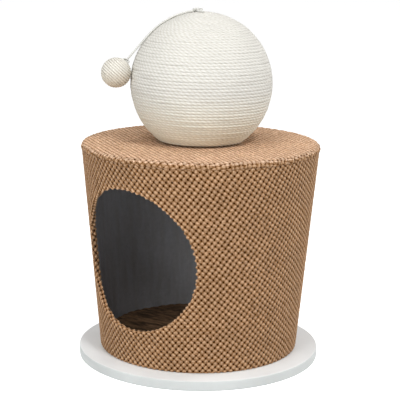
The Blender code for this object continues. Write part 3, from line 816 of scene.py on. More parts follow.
def dress(node: str, material: Material) -> None:
    """Gives a CAD node that stays its material."""
    slots = frame["nodes"][node].data.materials
    slots.clear()
    slots.append(material)


def applied(piece: Piece) -> Piece:
    """Makes a piece's modifiers part of its mesh."""
    graph = bpy.context.evaluated_depsgraph_get()
    mesh = bpy.data.meshes.new_from_object(piece.evaluated_get(graph))
    old = piece.data
    piece.modifiers.clear()
    piece.data = mesh
    mesh.name = old.name
    bpy.data.meshes.remove(old)
    return piece


def smooth_noise(place: Array, size: float, seed: int) -> Array:
    """Gives a smooth random wander between -1 and 1 along a line.

    Args:
        place: Places along the line.
        size: Distance over which it changes.
        seed: The number that settles it.

    Returns:
        One value for each place.
    """
    knots = np.random.default_rng(seed).uniform(-1.0, 1.0, int(np.max(place) / size) + 4)
    spot = np.clip(place, 0.0, None) / size
    whole = np.floor(spot).astype(int)
    share = spot - whole
    share = share * share * (3.0 - 2.0 * share)
    return knots[whole] * (1.0 - share) + knots[whole + 1] * share


def along_line(line: Array) -> Array:
    """Gives the distance from a line's start to each of its points."""
    return np.concatenate(([0.0], np.cumsum(np.linalg.norm(np.diff(line, axis=0), axis=1))))


def smooth_route(route: Array, spacing: float) -> Array:
    """Gives evenly spaced points on a smooth curve through a route's own points.

    Args:
        route: The given points.
        spacing: Distance between the new points.

    Returns:
        The new points.
    """
    line = np.concatenate(([2 * route[0] - route[1]], route, [2 * route[-1] - route[-2]]))
    steps_between = 12
    share = np.linspace(0.0, 1.0, steps_between, endpoint=False)[:, None]
    dense: list = []
    for before, start, end, after in zip(line, line[1:], line[2:], line[3:]):
        bend = (2 * before - 5 * start + 4 * end - after) * share**2
        twist = (3 * start - before - 3 * end + after) * share**3
        dense.append(0.5 * (2 * start + (end - before) * share + bend + twist))
    dense = np.concatenate(dense + [route[-1:]])
    way = along_line(dense)
    even = np.linspace(0.0, way[-1], max(2, round(way[-1] / spacing)) + 1)
    return np.stack([np.interp(even, way, dense[:, axis]) for axis in range(3)], axis=1)


def round_section(corners: int) -> Array:
    """Gives the angles of corners spread evenly round a circle."""
    return np.linspace(0.0, 2 * math.pi, corners, endpoint=False)


def band(before: Array, after: Array) -> Array:
    """Gives the quads between rings of corner numbers and the rings that follow them."""
    quads = np.stack((before, np.roll(before, -1, axis=-1), np.roll(after, -1, axis=-1), after), axis=-1)
    return quads.reshape(-1, 4)


def grid_quads(before: Array, after: Array) -> Array:
    """Gives the quads between open rows of corner numbers and the rows that follow them."""
    quads = np.stack((before[:, :-1], before[:, 1:], after[:, 1:], after[:, :-1]), axis=-1)
    return quads.reshape(-1, 4)


def without_doubles(face: list) -> list:
    """Drops each corner of a face that is the same as the one before it."""
    return [corner for place, corner in enumerate(face) if corner != face[place - 1]]


def turned(profile: list, steps: int) -> tuple[Array, list]:
    """Turns a closed outline round Z, with its corners on the axis kept single.

    Args:
        profile: Pairs of radius and height, from the axis or a bore, anticlockwise as seen with Z up.
        steps: Corners round the axis.

    Returns:
        The points and the faces, facing out.
    """
    on_axis = 1e-6
    points: list = []
    rings: list = []
    turns = 2.0 * math.pi * np.arange(steps) / steps
    for radius, height in profile:
        first = len(points)
        if radius < on_axis:
            points.append((0.0, 0.0, height))
            rings.append([first] * steps)
        else:
            points += [(radius * math.cos(turn), radius * math.sin(turn), height) for turn in turns]
            rings.append([first + step for step in range(steps)])
    faces: list = []
    closed = profile[0][0] > on_axis or profile[-1][0] > on_axis
    last = len(rings) if closed else len(rings) - 1
    for index in range(last):
        low, high = rings[index], rings[(index + 1) % len(rings)]
        for step in range(steps):
            after = (step + 1) % steps
            face = without_doubles([low[step], low[after], high[after], high[step]])
            if len(face) > 2:
                faces.append(face)
    return np.array(points), faces


def arc(centre: tuple, radius: float, start: float, end: float, steps: int) -> list:
    """Gives points on an arc.

    Args:
        centre: Its middle, as radius and height.
        radius: Its radius.
        start: Where it starts, in degrees.
        end: Where it ends, in degrees.
        steps: Straight pieces in it.

    Returns:
        The points, both ends among them.
    """
    angles = np.radians(np.linspace(start, end, steps + 1))
    return [(centre[0] + radius * math.cos(angle), centre[1] + radius * math.sin(angle)) for angle in angles]


def trimmed(quads: Array, outside: Array) -> tuple[Array, Array]:
    """Keeps the quads that have a corner inside, and numbers their corners anew.

    Args:
        quads: The quads of a grid.
        outside: True for each corner that lies outside the cloth's edges.

    Returns:
        The kept corners' old numbers, and the quads in new numbers.
    """
    kept = quads[~outside[quads].all(axis=1)]
    corners, renumbered = np.unique(kept, return_inverse=True)
    return corners, renumbered.reshape(kept.shape)


def welded(points: Array, quads: Array, loop: Array, reach: float) -> tuple[list, Array]:
    """Merges corners of an edge that lie too close to the one before.

    Args:
        points: All corners.
        quads: The quads.
        loop: The edge's corners in order.
        reach: Least distance to keep.

    Returns:
        The faces, and the edge's corners that are left.
    """
    same = np.arange(len(points))
    left = [loop[0]]
    for corner in loop[1:]:
        near = np.linalg.norm(points[corner] - points[left[-1]]) < reach
        closing = np.linalg.norm(points[corner] - points[loop[0]]) < reach
        if near or closing:
            same[corner] = left[-1] if near else loop[0]
        else:
            left.append(corner)
    quads = same[quads]
    doubled = (quads == np.roll(quads, 1, axis=1)).any(axis=1)
    faces = quads[~doubled].tolist()
    faces += [face for face in map(without_doubles, quads[doubled].tolist()) if len(set(face)) > 2]
    return faces, np.array(left)


@dataclass(frozen=True)
class DrumForm:
    """Shape of the drum outside its cloth: a cone that widens upwards, a rounded rim and an oval entrance."""

    foot_radius: float = 0.1645
    foot_height: float = 0.0160
    head_radius: float = 0.1957
    head_height: float = 0.3594
    rim_round: float = 0.008
    seam_drop: float = 0.011
    entrance_half_width: float = 0.110
    entrance_half_height: float = 0.116
    entrance_height: float = 0.1903
    entrance_power: float = 2.1

    @property
    def slope(self) -> float:
        """Growth of the radius with height."""
        return (self.head_radius - self.foot_radius) / (self.head_height - self.foot_height)

    @property
    def flare(self) -> float:
        """The wall's lean from upright, in radians."""
        return math.atan(self.slope)

    @property
    def apex(self) -> float:
        """Height of the point where the cone would end, under the floor."""
        return self.foot_height - self.foot_radius / self.slope

    @property
    def seam_height(self) -> float:
        """Height of the seam between the wall's cloth and the top's."""
        return self.head_height - self.seam_drop

    @property
    def foot_slant(self) -> float:
        """Distance from the apex to the foot along the wall."""
        return (self.foot_height - self.apex) / math.cos(self.flare)

    def radius(self, height: Array, inset: float = 0.0) -> Array:
        """Gives the drum's radius at a height, under its surface by an inset."""
        return (height - self.apex) * self.slope - inset

    def onto_cloth(self, turn: Array, height: Array) -> tuple[Array, Array]:
        """Lays points of the wall flat.

        Args:
            turn: Angles from the entrance, towards +X.
            height: Heights.

        Returns:
            Across and up on the flat cloth, from the foot under the entrance.
        """
        slant = (height - self.apex) / math.cos(self.flare)
        swing = turn * math.sin(self.flare)
        return slant * np.sin(swing), slant * np.cos(swing) - self.foot_slant

    def from_cloth(self, across: Array, up: Array) -> tuple[Array, Array]:
        """Finds the angle and the height of points on the flat cloth."""
        slant = np.hypot(across, up + self.foot_slant)
        turn = np.arctan2(across, up + self.foot_slant) / math.sin(self.flare)
        return turn, self.apex + slant * math.cos(self.flare)

    def place(self, turn: Array, height: Array, lift: Array) -> Array:
        """Gives points on the wall, raised square to it by a lift."""
        radius = self.radius(height) + lift * math.cos(self.flare)
        up = height - lift * math.sin(self.flare)
        return np.stack((radius * np.sin(turn), -radius * np.cos(turn), up), axis=1)

    def oval(self, across: Array, height: Array, grow: float) -> Array:
        """Gives a number under 1 inside the entrance's oval, grown by a distance, and over 1 outside it."""
        wide = np.abs(across) / (self.entrance_half_width + grow)
        high = np.abs(height - self.entrance_height) / (self.entrance_half_height + grow)
        return wide**self.entrance_power + high**self.entrance_power

    def entrance_share(self, turn: Array, height: Array, grow: float, inset: float = 0.0) -> Array:
        """Gives the oval's number for points of the wall, which at the back is endless."""
        share = self.oval(self.radius(height, inset) * np.sin(turn), height, grow)
        return np.where(np.abs(turn) < 0.5 * math.pi, share, np.inf)

    def entrance_edge(self, aim: Array, grow: float) -> tuple[Array, Array]:
        """Finds the entrance's edge, grown by a distance, in given directions from its middle.

        Args:
            aim: Angles from +X, anticlockwise as seen from the front.
            grow: How far outside the edge.

        Returns:
            Across and height of the edge's points.
        """
        share = self.oval(np.cos(aim), self.entrance_height + np.sin(aim), grow)
        reach = share ** (-1.0 / self.entrance_power)
        return reach * np.cos(aim), self.entrance_height + reach * np.sin(aim)

    def entrance_aim(self, turn: Array, height: Array, inset: float = 0.0) -> Array:
        """Gives the direction from the entrance's middle to points of the wall."""
        return np.arctan2(height - self.entrance_height, self.radius(height, inset) * np.sin(turn))

    def onto_edge(self, turn: Array, height: Array, grow: float, inset: float = 0.0) -> tuple[Array, Array]:
        """Moves points of the wall to the entrance's edge, straight away from its middle.

        Args:
            turn: Their angles.
            height: Their heights.
            grow: How far outside the edge.
            inset: How far inside the cover they lie.

        Returns:
            Their new angles and heights.
        """
        across, height = self.entrance_edge(self.entrance_aim(turn, height, inset), grow)
        return np.arcsin(across / self.radius(height, inset)), height


@dataclass(frozen=True)
class BobbleWeave:
    """Staggered rows of small round bobbles, and the mesh steps that follow them.

    The uneven numbers in its sines keep the rows' wander and the bobbles' own shifts from repeating.
    """

    across: float = 0.0101
    row: float = 0.00543
    depth: float = 0.0025
    groove: float = 0.30
    steps: int = 4
    uneven: float = 0.14
    wander: float = 0.0006
    wander_up: float = 0.6
    wander_size: float = 0.045
    jumble: float = 0.11
    least_tint: float = 0.38
    tint_spread: float = 0.24

    def diagonals(self, across: Array, up: Array) -> tuple[Array, Array]:
        """Counts bobbles along the two diagonals to points on the flat cloth."""
        return across / self.across + up / (2 * self.row), across / self.across - up / (2 * self.row)

    def flat(self, first: Array, second: Array) -> tuple[Array, Array]:
        """Finds the flat place of points counted along the two diagonals, each row a little off true."""
        across = self.across * (first + second) / 2
        up = self.row * (first - second)
        size = 2 * math.pi / self.wander_size
        across = across + self.wander * np.sin(size * up * 0.71 + 1.3 * np.sin(size * across * 0.23))
        slip = np.sin(size * across * 0.53 + 0.8 * np.sin(size * up * 0.31))
        return across, up + self.wander_up * self.wander * slip

    def chance(self, first: Array, second: Array, salt: float) -> Array:
        """Gives each bobble its own number from 0 to 1."""
        mixed = np.sin(np.round(first) * 12.9898 + np.round(second) * 78.233 + salt) * 43758.5453
        return mixed - np.floor(mixed)

    def tint(self, first: Array, second: Array, salt: float) -> Array:
        """Gives each bobble its own shade round the middle one."""
        return self.least_tint + self.tint_spread * self.chance(first, second, salt)

    def crown(self, first: Array, second: Array) -> Array:
        """Gives 1 in the middle of a bobble, and 0 half-way to the next."""
        return (np.cos(math.pi * first) * np.cos(math.pi * second)) ** 2

    def relief(self, first: Array, second: Array) -> Array:
        """Gives the cloth's height from 0 in a pit to 1 on a bobble."""
        one, other = np.sin(math.pi * first) ** 4, np.sin(math.pi * second) ** 4
        own = self.chance(first, second, 0.0) - 0.5
        narrow = 0.5 + 0.5 * np.cos(2.0 * math.pi * (first + second))
        pits = (1.0 - 2.0 * self.groove) * one * other * narrow
        return 1.0 - self.groove * (one + other) - pits + self.uneven * own * self.crown(first, second)

    def jumbled(self, first: Array, second: Array, share: Array) -> tuple[Array, Array]:
        """Pushes the bobbles out of their rows by a share, as where the cloth is gathered over an edge."""
        one = np.sin(4.1 * first + 1.9 * np.sin(2.3 * second + 0.7))
        one += 0.5 * np.sin(7.7 * second + 2.0 * first)
        other = np.sin(3.7 * second + 1.7 * np.sin(2.9 * first + 2.1))
        other += 0.5 * np.sin(8.3 * first - 2.6 * second)
        return first + self.jumble * share * one, second + self.jumble * share * other

    def grid(self, reach: float, low: float, high: float) -> tuple[Array, Array, Array]:
        """Lays mesh corners along the diagonals over a stretch of flat cloth.

        Args:
            reach: How far to each side it goes.
            low: Its lowest edge.
            high: Its highest edge.

        Returns:
            Each corner's count along the first and second diagonal, and the quads between them.
        """
        wide, bottom, top = reach / self.across, low / (2 * self.row), high / (2 * self.row)
        rows = np.arange(math.floor((-wide + bottom) * self.steps), math.ceil((wide + top) * self.steps) + 1)
        cols = np.arange(math.floor((-wide - top) * self.steps), math.ceil((wide - bottom) * self.steps) + 1)
        first, second = np.meshgrid(rows / self.steps, cols / self.steps, indexing="ij")
        number = np.arange(first.size).reshape(first.shape)
        return first.ravel(), second.ravel(), grid_quads(number[:-1], number[1:])


@dataclass
class DrumCloth:
    """The bobbled plush round the drum, cut flat in one, turned in at the entrance and seamed at the back."""

    form: DrumForm
    weave: BobbleWeave
    lean_start: float = 0.08
    lean_growth: float = 0.40
    clearance: float = 0.0003
    tuck_depth: float = 0.0012
    top_tuck_depth: float = 0.0004
    tuck_width: float = 0.0030
    seam_depth: float = 0.0022
    jumble_width: float = 0.006
    rim_flattening: float = 0.5
    rim_softness: float = 0.4
    lip_round: float = 0.003
    lip_back_round: float = 0.0025
    lip_depth: float = 0.0098
    lip_flange: float = 0.0062
    lip_steps: int = 4
    lip_swell: float = 0.0014
    # Painted highlight on the bobbles round the entrance's lip, and how far out it reaches.
    lip_painted_highlight: float = 0.20
    painted_highlight_reach: float = 0.09
    weld_reach: float = 0.0007
    salt: float = 5.0

    @property
    def foot(self) -> float:
        """Height of the cloth's lower edge."""
        return self.form.foot_height + self.clearance

    @property
    def head(self) -> float:
        """Height of the cloth's upper edge."""
        return self.form.seam_height - self.clearance

    def lean(self, up: Array) -> Array:
        """Gives how far the cloth's columns lean over at a height on the flat cloth."""
        return self.lean_growth * np.clip(up - self.lean_start, 0.0, None) ** 2

    def tuck(self, distance: Array, depth: float) -> Array:
        """Gives how far the cloth goes in near an edge at a distance."""
        share = np.clip(1.0 - distance / self.tuck_width, 0.0, 1.0)
        return depth * share * share

    def lip_profile(self) -> list:
        """Gives the rows of the turned-in edge.

        Returns:
            For each row its growth outwards, its depth, the cloth's facing in these two, and its way along.
        """
        near, far, deep = self.lip_round, self.lip_back_round, self.lip_depth
        rows: list = []
        for step in range(1, self.lip_steps + 1):
            angle = 0.5 * math.pi * step / self.lip_steps
            face = (-math.sin(angle), -math.cos(angle))
            rows.append((near * (1 - math.sin(angle)), near * (1 - math.cos(angle)), face, near * angle))
        way = near * 0.5 * math.pi
        straight = deep - near - far
        for step in range(1, self.lip_steps):
            share = straight * step / (self.lip_steps - 1)
            rows.append((0.0, near + share, (-1.0, 0.0), way + share))
        way += straight
        for step in range(1, self.lip_steps):
            angle = 0.5 * math.pi * step / (self.lip_steps - 1)
            face = (-math.cos(angle), math.sin(angle))
            grow, depth = far * (1 - math.cos(angle)), deep - far + far * math.sin(angle)
            rows.append((grow, depth, face, way + far * angle))
        rows.append((self.lip_flange, deep, (0.0, 1.0), way + far * 0.5 * math.pi + self.lip_flange - far))
        return rows

    def cut(self) -> tuple[Array, Array, Array, Array, Array, Array]:
        """Cuts the cloth's mesh to its foot, its seams and the entrance.

        Returns:
            Each corner's two bobble counts, angle and height, whether it lies on the entrance's edge, and the
            quads.
        """
        form, weave, foot, head = self.form, self.weave, self.foot, self.head
        back = math.pi * math.sin(form.flare)
        top_up = form.onto_cloth(np.array(0.0), np.array(head))[1]
        reach = (form.foot_slant + top_up) * math.sin(back) + self.lean(top_up) + weave.across
        low = form.foot_slant * (math.cos(back) - 1.0) - weave.across
        first, second, quads = weave.grid(reach, low, top_up + weave.across)
        across, up = weave.flat(first, second)
        turn, height = form.from_cloth(across - self.lean(up), up)
        hole = form.entrance_share(turn, height, self.lip_round) < 1.0
        outside = hole | (np.abs(turn) > math.pi) | (height < foot) | (height > head)
        corners, quads = trimmed(quads, outside)
        first, second, hole, snapped = first[corners], second[corners], hole[corners], outside[corners]
        turn = np.clip(turn[corners], -math.pi, math.pi)
        height = np.clip(height[corners], foot, head)
        turn[hole], height[hole] = form.onto_edge(turn[hole], height[hole], self.lip_round)
        across, up = form.onto_cloth(turn, height)
        new_first, new_second = weave.diagonals(across + self.lean(up), up)
        first, second = np.where(snapped, new_first, first), np.where(snapped, new_second, second)
        return first, second, turn, height, hole, quads

    def build(self, finishes: Finishes) -> Piece:
        """Builds the cloth.

        Args:
            finishes: The shared materials.

        Returns:
            The finished piece.
        """
        form, weave = self.form, self.weave
        first, second, turn, height, hole, quads = self.cut()
        near_rim = np.clip(1.0 - (self.head - height) / self.jumble_width, 0.0, 1.0)
        first, second = weave.jumbled(first, second, near_rim)
        lift = (weave.relief(first, second) - 1.0) * weave.depth * (1.0 - self.rim_flattening * near_rim)
        foot_tuck = self.tuck(height - self.foot, self.tuck_depth)
        lift -= foot_tuck + self.tuck(self.head - height, self.top_tuck_depth)
        lift -= self.tuck((math.pi - np.abs(turn)) * form.radius(height), self.seam_depth)
        points = form.place(turn, height, lift)
        loop = np.nonzero(hole)[0]
        loop = loop[np.argsort(np.arctan2(height[loop] - form.entrance_height, points[loop, 0]))]
        faces, loop = welded(points, quads, loop, self.weld_reach)
        # Bobbles near the entrance and the turned-in rows are lightened: a painted highlight on the rounded lip.
        share = form.entrance_share(turn, height, self.lip_round)
        near_lip = np.clip(1.0 - (share - 1.0) / self.painted_highlight_reach, 0.0, 1.0)
        tint = weave.tint(first, second, self.salt) + self.lip_painted_highlight * near_lip
        bobble = np.stack((first, second, self.rim_softness * near_rim), axis=1)
        before = loop
        for row_points, row_bobble, row_tint in self.lip(turn[loop], height[loop]):
            after = len(points) + np.arange(len(loop))
            faces += band(before, after).tolist()
            points = np.concatenate((points, row_points))
            bobble = np.concatenate((bobble, row_bobble))
            tint = np.concatenate((tint, row_tint))
            before = after
        return new_piece("drum_plush", points, faces, [finishes.plush], {"bobble": bobble, "tint": tint})

    def lip(self, turn: Array, height: Array) -> list:
        """Works out the rows of cloth that turn in round the entrance.

        Args:
            turn: The angles of the cloth's edge, anticlockwise as seen from the front.
            height: The heights of the cloth's edge.

        Returns:
            For each row its points, its bobble counts and its tint.
        """
        form, weave = self.form, self.weave
        aim = form.entrance_aim(turn, height)
        flat = np.stack(form.onto_cloth(turn, height))
        along = np.roll(flat, -1, axis=1) - np.roll(flat, 1, axis=1)
        along /= np.linalg.norm(along, axis=0)
        inwards = np.stack((-along[1], along[0]))
        middle = np.array([0.0, form.entrance_height])
        rows: list = []
        for grow, depth, (face_grow, face_depth), way in self.lip_profile():
            cloth_across, cloth_up = flat + inwards * way
            first, second = weave.diagonals(cloth_across + self.lean(cloth_up), cloth_up)
            swell = self.lip_swell * weave.crown(first, second)
            sink = (weave.relief(first, second) - 1.0) * weave.depth + swell
            edge = np.stack(form.entrance_edge(aim, grow))
            spoke = edge - middle[:, None]
            spoke /= np.linalg.norm(spoke, axis=0)
            across, up = edge + spoke * face_grow * sink
            deep = form.radius(up, depth) - face_depth * sink
            away = -np.sqrt(np.clip(deep * deep - across * across, 0.0, None))
            # Painted highlight on the turned-in rows.
            tint = self.lip_painted_highlight + weave.tint(first, second, self.salt)
            bobble = np.stack((first, second, np.zeros_like(first)), axis=1)
            rows.append((np.stack((across, away, up), axis=1), bobble, tint))
        return rows


@dataclass
class TopCloth:
    """The bobbled plush over the drum's top, pulled round the padded rim down to the seam."""

    form: DrumForm
    weave: BobbleWeave
    turned_deg: float = 17.0
    bore: float = 0.0045
    gather_count: int = 67
    gather_depth: float = 0.0006
    gather_drift: tuple = (2.0, 5.0)
    rim_flattening: float = 0.45
    jumble_start: float = 0.3
    pile_closes: float = 0.15
    rim_softness: float = 0.6
    # Share of the rim over which the top's painted light fades out.
    lit_copy_share: float = 0.5
    rim_shade: float = 0.32
    tuck_depth: float = 0.0004
    tuck_width: float = 0.0030
    salt: float = 9.0

    @property
    def level(self) -> float:
        """Radius of the top's flat middle."""
        return self.form.head_radius - self.form.rim_round

    @property
    def edge(self) -> float:
        """Radius of the flat cloth: the level top, a quarter round over the rim, and on to the seam."""
        return self.level + 0.5 * math.pi * self.form.rim_round + self.form.seam_drop - self.form.rim_round

    def over_rim(self, reach: Array) -> tuple[Array, Array, Array, Array]:
        """Bends a distance from the middle of the flat cloth over the top and its rim.

        Args:
            reach: Distances on the flat cloth.

        Returns:
            Radius and height of the points, and the cloth's facing outwards and upwards there.
        """
        form, level = self.form, self.level
        bend = np.clip((reach - level) / form.rim_round, 0.0, 0.5 * math.pi)
        drop = np.clip(reach - level - 0.5 * math.pi * form.rim_round, 0.0, None)
        out = np.minimum(reach, level) + form.rim_round * np.sin(bend) - drop * form.slope
        height = form.head_height - form.rim_round * (1.0 - np.cos(bend)) - drop
        return out, height, np.sin(bend), np.cos(bend)

    def build(self, finishes: Finishes) -> Piece:
        """Builds the cloth.

        Args:
            finishes: The shared materials.

        Returns:
            The finished piece.
        """
        form, weave, level, edge = self.form, self.weave, self.level, self.edge
        first, second, quads = weave.grid(edge + weave.across, -edge - weave.across, edge + weave.across)
        across, up = weave.flat(first, second)
        reach = np.hypot(across, up)
        corners, quads = trimmed(quads, (reach > edge) | (reach < self.bore))
        first, second, across, up = first[corners], second[corners], across[corners], up[corners]
        reach = np.clip(reach[corners], self.bore, edge)
        turn = np.arctan2(up, across) + math.radians(self.turned_deg)
        near_rim = np.clip((reach - level) / form.rim_round + self.jumble_start, 0.0, 1.0)
        on_rim = np.clip((reach - level) / form.rim_round, 0.0, 1.0)
        near_edge = np.clip(1.0 - (edge - reach) / self.tuck_width, 0.0, 1.0)
        first, second = weave.jumbled(first, second, near_rim)
        drift, waves = self.gather_drift
        pucker = np.sin(self.gather_count * turn + drift * np.sin(waves * turn)) * self.gather_depth
        relief = 1.0 - (1.0 - weave.relief(first, second)) * (1.0 - self.rim_flattening * on_rim)
        lift = (relief - 1.0) * weave.depth + pucker * on_rim
        lift -= self.tuck_depth * near_edge**2
        out, height, face_out, face_up = self.over_rim(reach)
        out = out + face_out * lift
        points = np.stack((out * np.cos(turn), out * np.sin(turn), height + face_up * lift), axis=1)
        softness = self.pile_closes + (self.rim_softness - self.pile_closes) * near_rim
        # The top's lighter copy is painted light. It fades to the wall's plush over the rim, where rim_shade also
        # darkens the tint so that the two meet at the seam.
        fade = np.clip((reach - level) / (self.lit_copy_share * (edge - level)), 0.0, 1.0)
        tint = weave.tint(first, second, self.salt) - self.rim_shade * np.where(fade < 1.0, fade, 0.0)
        values = {"bobble": np.stack((first, second, softness), axis=1), "tint": tint}
        piece = new_piece("top_plush", points, quads, [finishes.top_lit_plush, finishes.plush], values)
        upright = (fade[quads] >= 1.0).all(axis=1).astype(np.int32)
        piece.data.polygons.foreach_set("material_index", upright)
        return piece


@dataclass
class TopWadding:
    """The wadding under the top's plush, rounded at the rim, with a hole for the ball's bolt."""

    bore: float = BOLT_HOLE
    rim_round: float = 0.0045
    clearance: float = 0.0003
    rows: tuple = (0.75, 0.5, 0.25)
    steps: int = 160
    fill: float = 0.7

    def build(self, finishes: Finishes) -> Piece:
        """Builds the wadding.

        Args:
            finishes: The shared materials.

        Returns:
            The finished piece.
        """
        low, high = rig.box("top_padding")
        edge = high.x - self.rim_round
        profile = [(self.bore, low.z), (high.x - self.clearance, low.z)]
        profile += arc((edge - self.clearance, high.z - self.rim_round), self.rim_round, 0, 90, 8)
        profile += [(edge * share, high.z) for share in self.rows] + [(self.bore, high.z)]
        points, faces = turned(profile, self.steps)
        wadding = new_piece("top_wadding", points, faces, [finishes.wadding])
        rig.padded(wadding, fill=self.fill)
        return wadding


@dataclass
class DrumRoom:
    """The room's lining: the wall's felt with its oval opening, and the felt on floor and ceiling."""

    form: DrumForm
    inset: float = 0.0091
    thickness: float = 0.0015
    opening_grow: float = 0.0043
    turns: int = 240
    rows: int = 72
    ripple: float = 0.00015
    ripple_waves: tuple = (31.0, 53.0, 40.0)
    soft_edge: float = 0.4

    def build_wall(self, low: float, high: float, finishes: Finishes) -> Piece:
        """Builds the wall's felt as a closed shell.

        Args:
            low: Height of its foot.
            high: Height of its head.
            finishes: The shared materials.

        Returns:
            The finished piece.
        """
        form, grow, inset = self.form, self.opening_grow, self.inset
        around = np.linspace(-math.pi, math.pi, self.turns + 1)[:-1]
        turn, height = np.meshgrid(around, np.linspace(low, high, self.rows + 1), indexing="ij")
        number = np.arange(turn.size).reshape(turn.shape)
        quads = grid_quads(number, np.roll(number, -1, axis=0))
        turn, height = turn.ravel(), height.ravel()
        hole = form.entrance_share(turn, height, grow, inset) < 1.0
        corners, quads = trimmed(quads, hole)
        turn, height, hole = turn[corners], height[corners], hole[corners]
        turn[hole], height[hole] = form.onto_edge(turn[hole], height[hole], grow, inset)
        upright, slanted, rise = self.ripple_waves
        waves = np.sin(upright * turn) + np.sin(slanted * turn + rise * height)
        radius = form.radius(height, inset) + self.ripple * waves
        inner = np.stack((radius * np.sin(turn), -radius * np.cos(turn), height), axis=1)
        felt_wall = new_piece("room_felt", inner, quads, [finishes.felt])
        shell = felt_wall.modifiers.new("felt", "SOLIDIFY")
        shell.thickness = self.thickness - 2 * self.ripple
        shell.offset = -1.0
        return applied(felt_wall)

    def build_disc(self, name: str, node: str, bore: float, finishes: Finishes) -> Piece:
        """Builds a felt disc in place of a plain one, with soft edges.

        Args:
            name: The piece's name.
            node: The CAD node that it takes its size from.
            bore: Radius of its middle hole, or 0.
            finishes: The shared materials.

        Returns:
            The finished piece.
        """
        low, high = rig.box(node)
        soft = self.soft_edge * (high.z - low.z)
        edge = high.x - soft
        profile = [(bore, low.z)] + arc((edge, low.z + soft), soft, -90, 0, 3)
        profile += [(edge + soft, 0.5 * (low.z + high.z))]
        profile += arc((edge, high.z - soft), soft, 0, 90, 3) + [(bore, high.z)]
        points, faces = turned(profile, self.turns)
        return new_piece(name, points, faces, [finishes.felt])


@dataclass
class Mat:
    """The loose dark mat: a crowned plush top with drawn-in, puckered sides and a flat underside.

    The foot's rows are given from the drawn-in side and from the floor. The lumps come from waves in X and Y
    whose uneven numbers keep them from repeating.
    """

    shoulder: float = 0.0055
    side_draw: float = 0.0035
    foot_rows: tuple = ((-0.004, 0.0), (-0.001, 0.0003), (0.0006, 0.0014))
    side_round: float = 0.0042
    side_from_deg: float = -50.0
    side_to_deg: float = 78.0
    crown_power: float = 2.4
    puckers: int = 58
    pucker_depth: float = 0.0006
    pucker_drift: tuple = (1.6, 3.0)
    pucker_width: float = 0.010
    pucker_pull: float = 1.2
    lumps: float = 0.0009
    moves_from: float = 0.002
    moves_over: float = 0.006
    under_height: float = 0.0005
    steps: int = 232
    rings: int = 40
    fill: float = 0.45

    def outline(self, edge: float, foot: float, top: float) -> tuple[list, float]:
        """Draws half the mat's section.

        Args:
            edge: Its radius.
            foot: Height of its underside.
            top: Height of its crown.

        Returns:
            The section from the middle below to the middle above, and the radius of its seam.
        """
        side = edge - self.side_draw
        profile = [(0.0, foot)] + [(side + out, foot + up) for out, up in self.foot_rows]
        middle = (edge - self.side_round, foot + self.shoulder)
        profile += arc(middle, self.side_round, self.side_from_deg, self.side_to_deg, 8)
        rim, rim_height = profile[-1]
        for ring in range(1, self.rings + 1):
            share = 1.0 - ring / self.rings
            profile.append((rim * share, rim_height + (top - rim_height) * (1.0 - share**self.crown_power)))
        return profile, rim

    def build(self, finishes: Finishes) -> Piece:
        """Builds the mat.

        Args:
            finishes: The shared materials.

        Returns:
            The finished piece, which stands for all three of its CAD nodes.
        """
        low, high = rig.box("mat_top")
        edge, foot = high.x, low.z
        profile, rim = self.outline(edge, foot, high.z)
        points, faces = turned(profile, self.steps)
        x, y, height = points.T
        reach, turn = np.hypot(x, y), np.arctan2(y, x)
        rising = np.clip((height - foot - self.moves_from) / self.moves_over, 0.0, 1.0)
        near_seam = np.exp(-(((reach - rim) / self.pucker_width) ** 2))
        drift, waves = self.pucker_drift
        pucker = np.sin(self.puckers * turn + drift * np.sin(waves * turn)) * self.pucker_depth * near_seam
        lump = np.sin(38.0 * x + 3.0) * np.sin(33.0 * y - 1.0) + np.sin(71.0 * x + 52.0 * y)
        pull = self.pucker_pull * np.abs(pucker) * rising / np.maximum(reach, 0.01)
        points[:, 2] += rising * (pucker + 0.5 * self.lumps * lump - 0.5 * self.lumps)
        points[:, :2] *= (1.0 - np.where(reach > 0.5 * edge, pull, 0.0))[:, None]
        mat = new_piece("mat", points, faces, [finishes.mat_plush, finishes.mat_back])
        under = [max(points[corner][2] for corner in face) < foot + self.under_height for face in faces]
        mat.data.polygons.foreach_set("material_index", np.array(under, np.int32))
        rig.padded(mat, fill=self.fill)
        return mat


